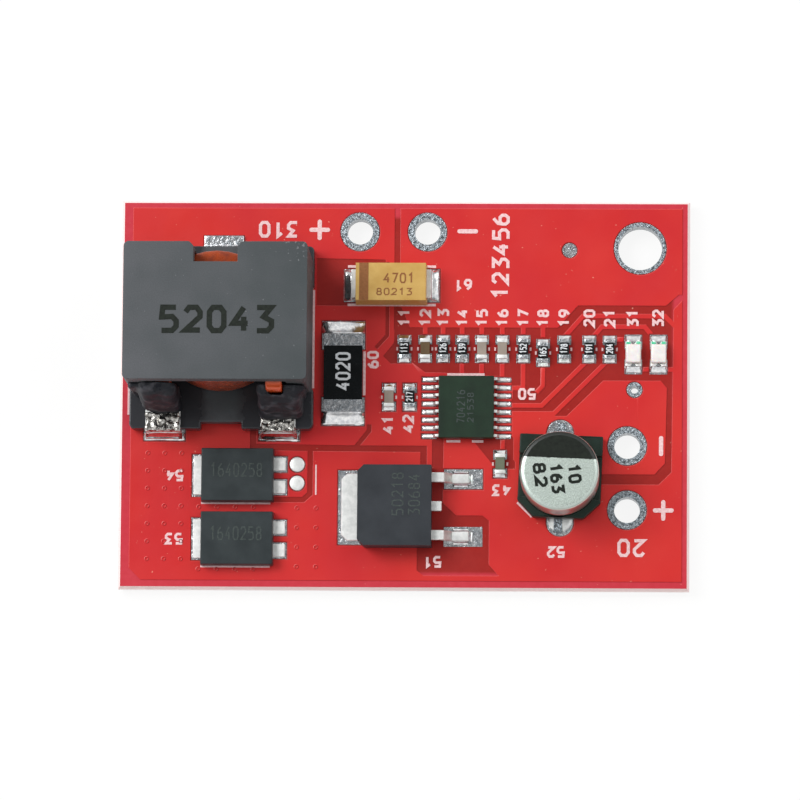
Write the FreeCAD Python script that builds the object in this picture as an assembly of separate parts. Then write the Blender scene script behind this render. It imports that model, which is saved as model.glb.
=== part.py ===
import FreeCAD, Part
import math
import os

os.makedirs("parts", exist_ok=True)

# Lithium battery charger module: a small red circuit board that carries a large
# ferrite-cored inductor, two flat diodes, a switching transistor, a controller,
# one electrolytic and one tantalum capacitor, a current-sense resistor, a row of
# small chips, two status lights and four plated wire holes. It has no moving parts.
#
# All lengths are millimetres. While the model is built, x runs from the board's
# left edge, y from its front edge and z from its underside. What is saved is
# moved so that the origin lies at the middle of the underside.

V = FreeCAD.Vector

# Board
laminate_thickness = 1.55
copper_thickness = 0.05
copper_edge_margin = 0.6
copper_left_margin = 0.88
copper_front_margin = 0.72
copper_corner_cut = 0.95
score_inset = 0.2
score_depth = 0.5
led_edge_gap = 1.78
input_eyelet_edge_gap = 3.26
battery_eyelet_edge_gap = 0.95
rear_terminal_edge_gap = 2.85

# Plated holes
wire_hole_radius = 1.03
wire_ring_radius = 1.55
battery_hole_pitch = 5.39
battery_pair_shift = 0.125
input_hole_pitch = 5.12
barrel_thickness = 0.18
mounting_hole_radius = 1.75
mounting_ring_radius = 2.08
mounting_hole_side_edge = 3.98
mounting_hole_rear_edge = 3.78
small_via_radius = 0.3
small_via_ring_radius = 0.62
test_pad_radius = 0.6
test_pad_from_chip = 0.4
test_pad_below_hole = 0.17
filled_via_radius = 0.62
filled_via_cap_radius = 0.5
filled_via_height = 0.12
filled_via_spread = 0.745
filled_via_shift = 0.165

# Inductor
core_edge_gap = 0.9
lower_core_length = 14.6
lower_core_depth = 14.66
lower_core_thickness = 1.5
core_corner_radius = 0.4
core_side_recess = 0.25
core_side_recess_length = 8.2
core_side_recess_start = 3.2
core_front_notch_width = 3.25
core_front_notch_depth = 0.55
upper_core_side_gap = 0.08
upper_core_front = 5.22
upper_core_rear = 5.66
upper_core_plate = 1.5
core_window_height = 7.35
core_post_radius = 3.7
coil_post_gap = 0.2
coil_leg_gap = 0.3
rear_notch_width = 3.47
rear_notch_flare = 0.35
rear_notch_depth = 1.6
axis_from_core_front = 8.08
turn_count = 8
turn_width = 1.3
turn_thickness = 0.8
turn_gap = 0.1
coil_floor_gap = 0.1
riser_width = 0.6
riser_inset = 0.2
coil_lead_reach = 0.8
clip_thickness = 0.25
clip_width = 2.8
clip_left_reach = 4.6
clip_right_reach = 4.55
clip_top_reach = 2.68
clip_foot_reach = 1.6
clip_foot_toe = 0.35
clip_pad_front = 0.8
clip_pad_rear = 0.15
clip_pad_margin = 0.25
rear_clip_width = 3.2
rear_clip_reach = 1.07
rear_clip_rise = 0.5
rear_clip_foot = 2.0
rear_pad_length = 2.4
epoxy_left_width = 3.1
epoxy_left_height = 6.9
epoxy_left_reach = 1.8
epoxy_right_width = 3.6
epoxy_right_height = 6.2
epoxy_right_reach = 2.25
epoxy_right_shift = 0.25
epoxy_chamfer = 0.35
epoxy_smear = 0.4
epoxy_smear_inset = 0.25

# Sense resistor
sense_length = 6.26
sense_width = 3.08
sense_thickness = 0.6
sense_coat_length = 4.34
sense_coat_thickness = 0.04
sense_pad_end = 1.085
sense_pad_side = 0.18
sense_pad_length = 2.3
core_to_sense_gap = 0.595

# Tantalum capacitor
tantalum_length = 5.7
tantalum_width = 3.12
tantalum_height = 2.5
tantalum_standoff = 0.1
tantalum_draft = 0.06
tantalum_terminal_width = 2.3
tantalum_terminal_thickness = 0.15
tantalum_terminal_foot = 1.3
tantalum_terminal_rise = 1.2
tantalum_terminal_lip = 0.4
tantalum_terminal_out = 0.35
tantalum_pad_out = 0.99
tantalum_pad_width = 2.66
tantalum_from_sense = 3.815
tantalum_to_row_gap = 2.37
tantalum_to_sense_gap = 1.28
tantalum_to_eyelet_gap = 1.24
stripe_width = 0.73
stripe_inset = 0.35

# Small chips, 1.6 by 0.8
chip_length = 1.6
chip_width = 0.8
chip_height = 0.45
chip_cap_length = 0.3
chip_cap_thickness = 0.03
chip_pad_width = 1.12
chip_pad_end = 0.335
chip_pad_inner_gap = 0.7
chip_row_start_gap = 2.575
chip_row_pitches = [1.66, 1.43, 1.52, 1.57, 1.63, 1.67, 1.57, 1.68, 2.0, 1.62]
chip_row_kinds = "RCRRCCRRRRR"
lowered_chip_index = 7
lowered_chip_shift = 0.3
chip_pair_gap = 1.385
chip_pair_pitch = 1.65
chip_pair_below_row = 3.9
bypass_chip_gap = 0.8
bypass_chip_above_can = 1.1

# Status lights
led_length = 2.0
led_width = 1.25
led_base_height = 0.4
led_lens_height = 0.4
led_lens_length = 1.54
led_lens_taper = 0.05
led_terminal_length = 0.23
led_notch_radius = 0.2
led_pad_end = 0.6
led_pad_width = 1.41
led_row_gap = 1.89
led_pitch = 2.01
led_below_row = 0.39

# Controller
controller_width = 4.44
controller_length = 5.02
controller_height = 0.95
controller_standoff = 0.1
controller_draft = 0.04
controller_pin_count = 8
controller_pin_pitch = 0.65
controller_pin_width = 0.24
controller_pin_reach = 0.98
controller_pin_foot = 0.62
controller_pin_thickness = 0.15
controller_pin_inset = 0.3
controller_pin_slope = 0.2
controller_pad_length = 1.2
controller_pad_width = 0.4
controller_pad_toe = 0.365
controller_to_row_gap = 1.1
controller_pair_gap = 0.765

# Transistor
transistor_length = 5.86
transistor_width = 6.42
transistor_height = 2.2
transistor_standoff = 0.1
transistor_chamfer = 0.5
transistor_tab_reach = 1.33
transistor_tab_width = 5.36
transistor_tab_chamfer = 0.45
transistor_tab_thickness = 0.5
transistor_plate_inset = 1.6
transistor_tab_pad_under = 3.52
transistor_lead_width = 0.78
transistor_lead_reach = 2.93
transistor_lead_foot = 1.3
transistor_lead_spread = 2.3
transistor_lead_inset = 1.0
transistor_lead_slope = 0.65
transistor_stub_reach = 0.81
transistor_pad_length = 3.1
transistor_pad_width = 1.6
transistor_pad_end = 1.1
transistor_tab_pad_margin = 0.3
transistor_to_controller_gap = 2.28
transistor_edge_gap = 3.34
transistor_from_diode_gap = 4.18

# Diodes
diode_length = 5.82
diode_width = 4.31
diode_height = 1.05
diode_standoff = 0.05
diode_draft = 0.06
diode_tab_reach = 0.6
diode_tab_length = 3.5
diode_tab_pad_length = 3.8
diode_tab_width = 3.1
diode_plate_thickness = 0.25
diode_lead_width = 1.02
diode_lead_reach = 0.9
diode_lead_length = 2.2
diode_lead_spread = 0.91
diode_pad_margin = 0.14
diode_from_core_right = 6.01
diode_edge_gap = 1.845
diode_gap = 0.75
core_to_diode_gap = 1.405
filled_via_from_lead = 0.91

# Electrolytic capacitor
can_radius = 3.13
can_height = 5.5
can_edge_radius = 0.35
can_groove_depth = 0.18
can_groove_height = 0.5
can_groove_rise = 0.4
can_base_margin = 0.17
can_base_floor = 0.35
can_base_wall = 0.85
can_base_chamfer = 1.3
can_base_slot_margin = 1.4
can_turn = -2.2
can_lead_width = 0.7
can_lead_thickness = 0.15
can_lead_reach = 1.1
can_lead_start = 0.8
can_pad_width = 2.15
can_pad_reach = 1.35
can_pad_start = 1.65
can_gap = 0.91
can_below_controller = 5.57
can_seat_clearance = 0.03
can_to_input_gap = 0.47
small_via_to_led_gap = 0.62
small_via_to_input_gap = 2.33
small_via_from_input = 0.56

# Solder
fillet_reach_share = 0.85
fillet_rise_share = 0.8
terminal_fillet_rise = 1.1
tantalum_fillet_rise = 0.8
solder_drop_radius = 0.75

# Print and small clearances
copper_pad_gap = 0.06
smallest_copper_area = 0.05
track_width = 0.38
silk_height = 0.03
silk_stroke = 0.2
label_height = 0.94
mark_height = 0.02
mark_stroke = 0.1
sign_length = 1.65
sign_stroke = 0.34

# Heights that follow
mask_top = laminate_thickness + copper_thickness
lower_core_bottom = mask_top + clip_thickness
lower_core_top = lower_core_bottom + lower_core_thickness
plate_underside = lower_core_top + core_window_height
inductor_top = plate_underside + upper_core_plate

# Places along x, from the left edge to the right
inductor_x = core_edge_gap + lower_core_length / 2
core_right = core_edge_gap + lower_core_length
upper_core_length = lower_core_length - 2 * upper_core_side_gap
diode_x = core_right - diode_from_core_right
diode_lead_tip_x = diode_x + diode_length / 2 + diode_lead_reach
sense_pad_width = sense_width + 2 * sense_pad_side
sense_x = core_right + core_to_sense_gap + sense_pad_width / 2
sense_right = sense_x + sense_pad_width / 2
tantalum_x = sense_x + tantalum_from_sense
battery_plus_x = tantalum_x + battery_pair_shift - battery_hole_pitch / 2
battery_minus_x = battery_plus_x + battery_hole_pitch
row_x = [sense_right + chip_row_start_gap + chip_pad_width / 2]
for pitch in chip_row_pitches:
    row_x.append(row_x[-1] + pitch)
led_x = [row_x[-1] + led_row_gap, row_x[-1] + led_row_gap + led_pitch]
pair_x = [sense_right + chip_pair_gap + chip_pad_width / 2]
pair_x.append(pair_x[0] + chip_pair_pitch)
controller_span = controller_width + 2 * controller_pin_reach
controller_x = pair_x[1] + chip_pad_width / 2 + controller_pair_gap + controller_span / 2
transistor_tab_pad_left = diode_lead_tip_x + transistor_from_diode_gap
transistor_x = (transistor_tab_pad_left + transistor_tab_pad_margin
                + transistor_tab_reach + transistor_length / 2)
transistor_pad_right = (transistor_x + transistor_length / 2
                        + transistor_lead_reach + transistor_pad_end)
bypass_x = transistor_pad_right + bypass_chip_gap + chip_pad_width / 2
can_base_size = 2 * (can_radius + can_base_margin)
can_x = bypass_x + chip_pad_width / 2 + can_gap + can_base_size / 2
input_x = can_x + can_base_size / 2 + can_to_input_gap + wire_ring_radius
small_via_x = input_x + small_via_from_input
board_length = max(led_x[1] + led_pad_width / 2 + led_edge_gap,
                   input_x + wire_ring_radius + input_eyelet_edge_gap)
mounting_hole_x = board_length - mounting_hole_side_edge
test_pad_x = row_x[8] + test_pad_from_chip

# Places along y, from the front edge to the rear
diode_y = [diode_edge_gap + diode_width / 2]
diode_y.append(diode_y[0] + diode_width + diode_gap)
core_front_y = diode_y[1] + diode_width / 2 + core_to_diode_gap
core_rear_y = core_front_y + lower_core_depth
axis_y = core_front_y + axis_from_core_front
transistor_y = transistor_edge_gap + transistor_width / 2
controller_y = (transistor_y + transistor_width / 2
                + transistor_to_controller_gap + controller_length / 2)
chip_pad_span = chip_length + 2 * chip_pad_end
row_y = controller_y + controller_length / 2 + controller_to_row_gap + chip_pad_span / 2
tantalum_y = row_y + chip_pad_span / 2 + tantalum_to_row_gap + tantalum_width / 2
sense_pad_span = sense_length + 2 * sense_pad_end
sense_y = tantalum_y - tantalum_width / 2 - tantalum_to_sense_gap - sense_pad_span / 2
battery_y = tantalum_y + tantalum_width / 2 + tantalum_to_eyelet_gap + wire_ring_radius
led_y = row_y - led_below_row
pair_y = row_y - chip_pair_below_row
can_y = controller_y - can_below_controller
bypass_y = can_y + bypass_chip_above_can
small_via_y = (led_y - led_length / 2 - led_pad_end
               - small_via_to_led_gap - small_via_ring_radius)
input_minus_y = small_via_y - small_via_ring_radius - small_via_to_input_gap - wire_ring_radius
input_plus_y = input_minus_y - input_hole_pitch
board_width = max(battery_y + wire_ring_radius + battery_eyelet_edge_gap,
                  core_rear_y + rear_clip_reach + rear_terminal_edge_gap)
mounting_hole_y = board_width - mounting_hole_rear_edge
test_pad_y = mounting_hole_y - test_pad_below_hole


# Shapes

def box(x0, x1, y0, y1, z0, z1):
    return Part.makeBox(x1 - x0, y1 - y0, z1 - z0, V(x0, y0, z0))


def block(x, y, length, width, z0, z1):
    return box(x - length / 2, x + length / 2, y - width / 2, y + width / 2, z0, z1)


def disc(x, y, radius, z0, z1):
    return Part.makeCylinder(radius, z1 - z0, V(x, y, z0))


def slab(points, z0, z1):
    corners = [V(x, y, z0) for x, y in points]
    return Part.Face(Part.makePolygon(corners + corners[:1])).extrude(V(0, 0, z1 - z0))


def side_profile(points, x0, x1):
    corners = [V(x0, y, z) for y, z in points]
    return Part.Face(Part.makePolygon(corners + corners[:1])).extrude(V(x1 - x0, 0, 0))


def front_profile(points, y0, y1):
    corners = [V(x, y0, z) for x, z in points]
    return Part.Face(Part.makePolygon(corners + corners[:1])).extrude(V(0, y1 - y0, 0))


def tapered(x, y, length, width, z0, z1, inset):
    def outline(z, cut):
        half_x = length / 2 - cut
        half_y = width / 2 - cut
        corners = [V(x - half_x, y - half_y, z), V(x + half_x, y - half_y, z),
                   V(x + half_x, y + half_y, z), V(x - half_x, y + half_y, z)]
        return Part.makePolygon(corners + corners[:1])
    return Part.makeLoft([outline(z0, 0), outline(z1, inset)], True, True)


def rounded_block(x, y, length, width, z0, z1, radius):
    body = block(x, y, length, width, z0, z1)
    upright = [e for e in body.Edges if abs(e.tangentAt(e.FirstParameter).z) > 0.99]
    return body.makeFillet(radius, upright)


def turned(shape, x, y, degrees):
    result = shape.copy()
    result.rotate(V(x, y, 0), V(0, 0, 1), degrees)
    return result


def offset_path(points, distance, closed):
    count = len(points)
    result = []
    for i, here in enumerate(points):
        before = points[i - 1] if closed or i > 0 else None
        after = points[(i + 1) % count] if closed or i < count - 1 else None
        normals = []
        for start, end in ((before, here), (here, after)):
            if start is None or end is None:
                continue
            length = math.hypot(end[0] - start[0], end[1] - start[1])
            normals.append(((start[1] - end[1]) / length, (end[0] - start[0]) / length))
        nx = sum(n[0] for n in normals) / len(normals)
        ny = sum(n[1] for n in normals) / len(normals)
        scale = distance / (nx * nx + ny * ny)
        result.append((here[0] + nx * scale, here[1] + ny * scale))
    return result


def strip(points, width, z0, z1, closed=False):
    left = offset_path(points, width / 2, closed)
    right = offset_path(points, -width / 2, closed)
    if not closed:
        return slab(left + right[::-1], z0, z1)
    return slab(right, z0, z1).cut(slab(left, z0, z1))


def fused(shapes):
    if len(shapes) == 1:
        return shapes[0]
    return shapes[0].multiFuse(shapes[1:]).removeSplitter()


def save(name, shapes):
    solids = []
    for shape in shapes:
        solids.extend(shape.Solids)
    result = solids[0] if len(solids) == 1 else Part.makeCompound(solids)
    result = result.copy()
    result.translate(V(-board_length / 2, -board_width / 2, 0))
    result.exportStep("parts/" + name + ".step")
    print(name, len(solids), round(sum(s.Volume for s in solids), 3))


# Plain numerals drawn with a pen, each in a cell 0.62 wide and 1 high

PEN_PATHS = {
    "0": [([(0.15, 0), (0.47, 0), (0.62, 0.2), (0.62, 0.8), (0.47, 1), (0.15, 1),
            (0, 0.8), (0, 0.2)], True)],
    "1": [([(0.08, 0.78), (0.36, 1), (0.36, 0)], False)],
    "2": [([(0, 0.8), (0.15, 1), (0.47, 1), (0.62, 0.8), (0.62, 0.6), (0, 0.02),
            (0.62, 0.02)], False)],
    "3": [([(0, 1), (0.6, 1), (0.28, 0.6), (0.62, 0.42), (0.62, 0.18), (0.45, 0),
            (0, 0)], False)],
    "4": [([(0.45, 1), (0, 0.32), (0.62, 0.32)], False), ([(0.45, 0.6), (0.45, 0)], False)],
    "5": [([(0.6, 1), (0.04, 1), (0, 0.58), (0.45, 0.6), (0.62, 0.42), (0.62, 0.18),
            (0.45, 0), (0, 0)], False)],
    "6": [([(0.15, 0), (0.47, 0), (0.62, 0.18), (0.62, 0.4), (0.47, 0.56), (0.15, 0.56),
            (0, 0.4), (0, 0.18)], True), ([(0, 0.35), (0.05, 0.7), (0.4, 1)], False)],
    "7": [([(0, 1), (0.62, 1), (0.2, 0)], False)],
    "8": [([(0.15, 0), (0.47, 0), (0.6, 0.15), (0.6, 0.38), (0.47, 0.52), (0.15, 0.52),
            (0.02, 0.38), (0.02, 0.15)], True),
          ([(0.17, 0.52), (0.45, 0.52), (0.56, 0.65), (0.56, 0.87), (0.45, 1), (0.17, 1),
            (0.06, 0.87), (0.06, 0.65)], True)],
}
NUMERAL_WIDTH = 0.62
NUMERAL_PITCH = 1.02
PEN_PATHS["9"] = [([(NUMERAL_WIDTH - px, 1 - py) for px, py in path], closed)
                  for path, closed in PEN_PATHS["6"]]


def numerals(text, x, y, height, stroke, turn, z0, z1, spread=1):
    cell = height - stroke
    run = (len(text) - 1) * NUMERAL_PITCH + NUMERAL_WIDTH
    shapes = []
    for index, character in enumerate(text):
        left = x + (index * NUMERAL_PITCH - run / 2) * cell * spread
        pieces = []
        for path, closed in PEN_PATHS[character]:
            points = [(left + px * cell * spread, y + (py - 0.5) * cell) for px, py in path]
            pieces.append(strip(points, stroke, z0, z1, closed))
        shapes.append(turned(fused(pieces), x, y, turn))
    return shapes


# Board and everything flat on it

def make_board(hole_cuts):
    profile_x = [(0, score_depth), (score_inset, 0), (board_length - score_inset, 0),
                 (board_length, score_depth), (board_length, laminate_thickness - score_depth),
                 (board_length - score_inset, laminate_thickness),
                 (score_inset, laminate_thickness), (0, laminate_thickness - score_depth)]
    profile_y = [(0, score_depth), (score_inset, 0), (board_width - score_inset, 0),
                 (board_width, score_depth), (board_width, laminate_thickness - score_depth),
                 (board_width - score_inset, laminate_thickness),
                 (score_inset, laminate_thickness), (0, laminate_thickness - score_depth)]
    board = front_profile(profile_x, 0, board_width)
    board = board.common(side_profile(profile_y, 0, board_length))
    return board.cut(hole_cuts)


plated_holes = [
    ("battery_plus_eyelet", battery_plus_x, battery_y, wire_hole_radius, wire_ring_radius),
    ("battery_minus_eyelet", battery_minus_x, battery_y, wire_hole_radius, wire_ring_radius),
    ("input_minus_eyelet", input_x, input_minus_y, wire_hole_radius, wire_ring_radius),
    ("input_plus_eyelet", input_x, input_plus_y, wire_hole_radius, wire_ring_radius),
    ("mounting_hole_plating", mounting_hole_x, mounting_hole_y, mounting_hole_radius,
     mounting_ring_radius),
    ("small_via_plating", small_via_x, small_via_y, small_via_radius, small_via_ring_radius),
]


def make_eyelet(x, y, hole, ring):
    barrel = disc(x, y, hole + barrel_thickness, 0, mask_top)
    under_ring = disc(x, y, ring, 0, copper_thickness)
    top_ring = disc(x, y, ring, laminate_thickness, mask_top)
    bore = disc(x, y, hole, 0, mask_top)
    return fused([barrel, under_ring, top_ring]).cut(bore)


def make_hole_cuts():
    cuts = []
    for name, x, y, hole, ring in plated_holes:
        cuts.append(disc(x, y, hole + barrel_thickness, 0, laminate_thickness))
        cuts.append(disc(x, y, ring, 0, copper_thickness))
    return cuts


def chip_pad_outlines(x, y):
    pad_length = (chip_pad_span - chip_pad_inner_gap) / 2
    shift = (chip_pad_inner_gap + pad_length) / 2
    return [(x, y - shift, chip_pad_width, pad_length), (x, y + shift, chip_pad_width, pad_length)]


def controller_pin_ys():
    middle = (controller_pin_count - 1) / 2
    return [controller_y + (i - middle) * controller_pin_pitch for i in range(controller_pin_count)]


def pad_outlines():
    pads = []
    for x, y, kind in chips:
        pads.extend(chip_pad_outlines(x, y))
    for x in led_x:
        shift = led_length / 2
        pad_length = 2 * led_pad_end
        pads.append((x, led_y - shift, led_pad_width, pad_length))
        pads.append((x, led_y + shift, led_pad_width, pad_length))
    sense_shift = (sense_pad_span - sense_pad_length) / 2
    pads.append((sense_x, sense_y - sense_shift, sense_pad_width, sense_pad_length))
    pads.append((sense_x, sense_y + sense_shift, sense_pad_width, sense_pad_length))
    tantalum_pad_length = tantalum_terminal_foot + tantalum_pad_out
    tantalum_shift = (tantalum_length + tantalum_pad_length) / 2 - tantalum_terminal_foot
    pads.append((tantalum_x - tantalum_shift, tantalum_y, tantalum_pad_length, tantalum_pad_width))
    pads.append((tantalum_x + tantalum_shift, tantalum_y, tantalum_pad_length, tantalum_pad_width))
    pin_shift = controller_span / 2 - controller_pad_length / 2 + controller_pad_toe
    for y in controller_pin_ys():
        pads.append((controller_x - pin_shift, y, controller_pad_length, controller_pad_width))
        pads.append((controller_x + pin_shift, y, controller_pad_length, controller_pad_width))
    lead_pad_x = transistor_pad_right - transistor_pad_length / 2
    for side in (-1, 1):
        lead_y = transistor_y + side * transistor_lead_spread
        pads.append((lead_pad_x, lead_y, transistor_pad_length, transistor_pad_width))
    tab_pad_length = transistor_tab_pad_margin + transistor_tab_reach + transistor_tab_pad_under
    pads.append((transistor_tab_pad_left + tab_pad_length / 2, transistor_y, tab_pad_length,
                 transistor_tab_width + 2 * transistor_tab_pad_margin))
    for y in diode_y:
        tab_left = diode_x - diode_length / 2 - diode_tab_reach - diode_pad_margin
        pads.append((tab_left + diode_tab_pad_length / 2, y, diode_tab_pad_length,
                     diode_tab_width + 2 * diode_pad_margin))
        lead_length = diode_lead_reach + diode_pad_margin * 2
        lead_x = diode_lead_tip_x + diode_pad_margin - lead_length / 2
        for side in (-1, 1):
            lead_y = y + side * diode_lead_spread
            pads.append((lead_x, lead_y, lead_length, diode_lead_width + 2 * diode_pad_margin))
    clip_pad_length = clip_pad_front + clip_foot_reach + clip_pad_rear
    for x in clip_x:
        pads.append((x, core_front_y - clip_pad_front + clip_pad_length / 2,
                     clip_width + 2 * clip_pad_margin, clip_pad_length))
    pads.append((inductor_x, core_rear_y + rear_clip_reach - rear_pad_length / 2,
                 rear_clip_width, rear_pad_length))
    return pads


def can_pads(margin, z0, z1):
    shapes = []
    for side in (-1, 1):
        inner = can_y + side * can_pad_start
        outer = can_y + side * (can_base_size / 2 + can_pad_reach - can_pad_width / 2)
        pad = box(can_x - can_pad_width / 2 - margin, can_x + can_pad_width / 2 + margin,
                  min(inner, outer), max(inner, outer), z0, z1)
        shapes.append(fused([pad, disc(can_x, outer, can_pad_width / 2 + margin, z0, z1)]))
    return shapes


def round_pads():
    pads = [(test_pad_x, test_pad_y, test_pad_radius)]
    for side in (-1, 1):
        y = diode_y[1] + side * filled_via_spread + filled_via_shift
        pads.append((diode_lead_tip_x + filled_via_from_lead, y, filled_via_radius))
    return pads


def make_pads():
    shapes = [block(x, y, length, width, laminate_thickness, mask_top)
              for x, y, length, width in pad_outlines()]
    shapes.extend(can_pads(0, laminate_thickness, mask_top))
    shapes.extend(disc(x, y, r, laminate_thickness, mask_top) for x, y, r in round_pads())
    for x, y, _radius in round_pads()[1:]:
        shapes.append(disc(x, y, filled_via_cap_radius, mask_top, mask_top + filled_via_height))
    return fused(shapes).Solids


# Places used by several groups
clip_x = [inductor_x - clip_left_reach, inductor_x + clip_right_reach]
chips = []
for index, kind in enumerate(chip_row_kinds):
    lowered = lowered_chip_shift if index == lowered_chip_index else 0
    chips.append((row_x[index], row_y - lowered, kind))
chips.append((pair_x[0], pair_y, "C"))
chips.append((pair_x[1], pair_y, "R"))
chips.append((bypass_x, bypass_y, "C"))


def near(anchor, points):
    return [(anchor[0] + dx, anchor[1] + dy) for dx, dy in points]


row_end = (row_x[-1], row_y)
controller_place = (controller_x, controller_y)
transistor_place = (transistor_x, transistor_y)
tantalum_place = (tantalum_x, tantalum_y)
can_place = (can_x, can_y)
sense_place = (sense_x, sense_y)


def laminate_gaps(z0, z1):
    right_edge = board_length
    row_start = (row_x[0], row_y)
    area = near(tantalum_place, [(0.27, -1.7), (0.77, -1.7)])
    area += near(row_start, [(0.43, 1.72)])
    area += near((row_x[8], row_y), [(-0.5, 1.72), (1.1, 3.52)])
    area += near(row_end, [(4.48, 3.52), (5.5, 4.4)])
    area += [(right_edge, row_y + 4.4), (right_edge, row_y + 3.95)]
    area += near(row_end, [(5.75, 3.95), (5.08, 3.22)])
    area += near(can_place, [(8.83, 0.5), (7.83, -0.5), (3.03, -0.5), (3.03, 0.3), (7.5, 0.3),
                             (8.33, 1.2)])
    area += near(row_end, [(4.58, -3.1), (4.08, -2.5), (-0.5, -2.5), (-3.4, -5.35)])
    area += near(controller_place, [(3.6, -0.62), (3.6, 2.5), (-2.2, 2.85), (-3.3, 2.85)])
    area += near(row_start, [(0.63, -1.1), (-1.07, -1.2), (-1.67, -0.6), (-0.8, 0.5)])
    gaps = [slab(area, z0, z1)]
    gaps.append(slab(near(controller_place, [(0.3, -2.3), (3.75, -2.3), (3.75, -4.1), (3.9, -4.3),
                                             (3.9, -4.85), (2.4, -4.85)]), z0, z1))
    gate = near(controller_place, [(-2.7, -2.4), (-1.8, -2.4)])
    gate += near(transistor_place, [(3.76, 0.4), (4.86, -0.6), (6.96, -0.6), (7.46, -1.0),
                                    (7.46, -4.5), (8.26, -5.4), (2.26, -5.4), (1.76, -5.0),
                                    (1.76, -3.2), (2.86, -2.9)])
    gaps.append(slab(gate, z0, z1))
    battery_gap_x = (battery_plus_x + battery_minus_x) / 2 + 0.3
    gaps.append(strip([(battery_gap_x, board_width), (battery_gap_x, row_y + 1.5)], 0.45, z0, z1))
    sense_line = near(tantalum_place, [(-0.33, 1.9), (-0.33, -4.0), (-1.23, -5.0)])
    gaps.append(strip(sense_line, 0.28, z0, z1))
    gaps.append(slab(near(tantalum_place, [(-6.0, -1.6), (-0.5, -1.6), (-0.5, 2.1), (-6.0, 2.2)]),
                     z0, z1))
    lower = [(inductor_x + 2.5, core_front_y + 0.3), (inductor_x + 2.5, core_front_y - 1.25)]
    lower += near(sense_place, [(0.9, -6.04), (6.46, -6.04), (6.46, -7.3)])
    gaps.append(strip(lower, 0.5, z0, z1))
    gaps.append(strip(near(sense_place, [(1.0, -6.0), (2.1, -4.6), (2.1, -4.1)]), 0.35, z0, z1))
    island = near((diode_lead_tip_x, diode_y[1]), [(1.95, 2.2), (1.95, -1.4), (1.4, -1.9),
                                                   (-0.95, -1.9)])
    gaps.append(strip(island, 0.42, z0, z1))
    return gaps


def copper_tracks(z0, z1):
    paths = []
    top = row_y + 1.9
    for index in (1, 2, 3, 4, 5, 6, 7):
        paths.append([(row_x[index], top), (row_x[index], row_y + 0.95)])
    for index, reach in ((3, 2.3), (4, 2.3), (5, 2.4)):
        paths.append([(row_x[index], row_y - 0.9), (row_x[index], row_y - reach)])
    pin = controller_pin_ys()
    pin_x = controller_x + controller_span / 2 - 0.3
    row_low = row_y - 0.9
    paths.append([(row_x[0], row_low), (row_x[0] + 0.1, row_low - 0.25),
                  (controller_x - 3.5, pin[7] + 0.1), (controller_x - 3.0, pin[7] + 0.1)])
    paths.append([(row_x[6], row_low), (row_x[6], pin[6]), (pin_x, pin[6])])
    paths.append([(row_x[7], row_low - 0.3), (row_x[7], pin[6] + 0.2), (row_x[7] - 0.5, pin[5] + 0.3)])
    for index, pin_y in ((9, pin[4] - 0.1), (10, pin[3] - 0.1)):
        slope = row_y - 1.05 - pin_y
        paths.append([(row_x[index], row_low), (row_x[index] - 0.3, row_y - 1.05),
                      (row_x[index] - 0.3 - slope, pin_y), (pin_x, pin_y)])
    right = row_x[-1] + 5.4
    paths.append([(row_x[8], row_y + 1.0), (row_x[8] + 0.2, row_y + 1.2), (row_x[8] + 1.5, row_y + 2.68),
                  (row_x[-1] + 4.4, row_y + 2.68), (right, row_y + 1.7)])
    paths.append([(row_x[9], row_y + 0.9), (row_x[9] + 0.4, row_y + 1.1), (row_x[9] + 1.0, row_y + 1.82),
                  (led_x[1] - 1.1, row_y + 1.82), (led_x[1] - 0.5, row_y + 1.1),
                  (led_x[1], row_y + 0.9)])
    paths.append([(row_x[10], row_y + 0.8), (led_x[0], row_y + 0.8)])
    led_low = led_y - led_length / 2 - 0.2
    paths.append([(led_x[0], led_low), (right, led_low)])
    paths.append([(controller_x + 2.9, pin[0]), (controller_x + 2.9, bypass_y + 0.9)])
    paths.append([(controller_x - 2.9, pin[0]),
                  (controller_x - 2.9, transistor_y + transistor_lead_spread)])
    shapes = [strip(path, track_width, z0, z1) for path in paths]
    shapes.append(box(pin_x, pin_x + 0.8, pin[5] - 0.2, pin[6] + 0.2, z0, z1))
    return shapes


def make_copper():
    z0 = laminate_thickness
    z1 = mask_top
    left = copper_left_margin
    front = copper_front_margin
    right = board_length - copper_edge_margin
    rear = board_width - copper_edge_margin
    sheet = slab([(left + copper_corner_cut, front), (right, front), (right, rear), (left, rear),
                  (left, front + copper_corner_cut)], z0, z1)
    copper = sheet.cut(laminate_gaps(z0, z1))
    copper = copper.fuse(copper_tracks(z0, z1)).removeSplitter()
    openings = [block(x, y, length + 2 * copper_pad_gap, width + 2 * copper_pad_gap, z0, z1)
                for x, y, length, width in pad_outlines()]
    openings.extend(can_pads(copper_pad_gap, z0, z1))
    for x, y, radius in round_pads():
        openings.append(disc(x, y, radius + copper_pad_gap, z0, z1))
    for name, x, y, hole, ring in plated_holes:
        openings.append(disc(x, y, ring + copper_pad_gap, z0, z1))
    copper = copper.cut(openings)
    return [s for s in copper.Solids if s.Volume > smallest_copper_area * copper_thickness]


# White print on the board

def label(text, x, y, turn=90, height=label_height, stroke=silk_stroke):
    return numerals(text, x, y, height, stroke, turn, laminate_thickness, mask_top + silk_height)


def line(x0, y0, x1, y1, width=silk_stroke):
    return strip([(x0, y0), (x1, y1)], width, laminate_thickness, mask_top + silk_height)


def sign_bar(x0, y0, x1, y1):
    ends = [disc(x, y, sign_stroke / 2, laminate_thickness, mask_top + silk_height)
            for x, y in ((x0, y0), (x1, y1))]
    return fused([line(x0, y0, x1, y1, sign_stroke)] + ends)


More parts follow.
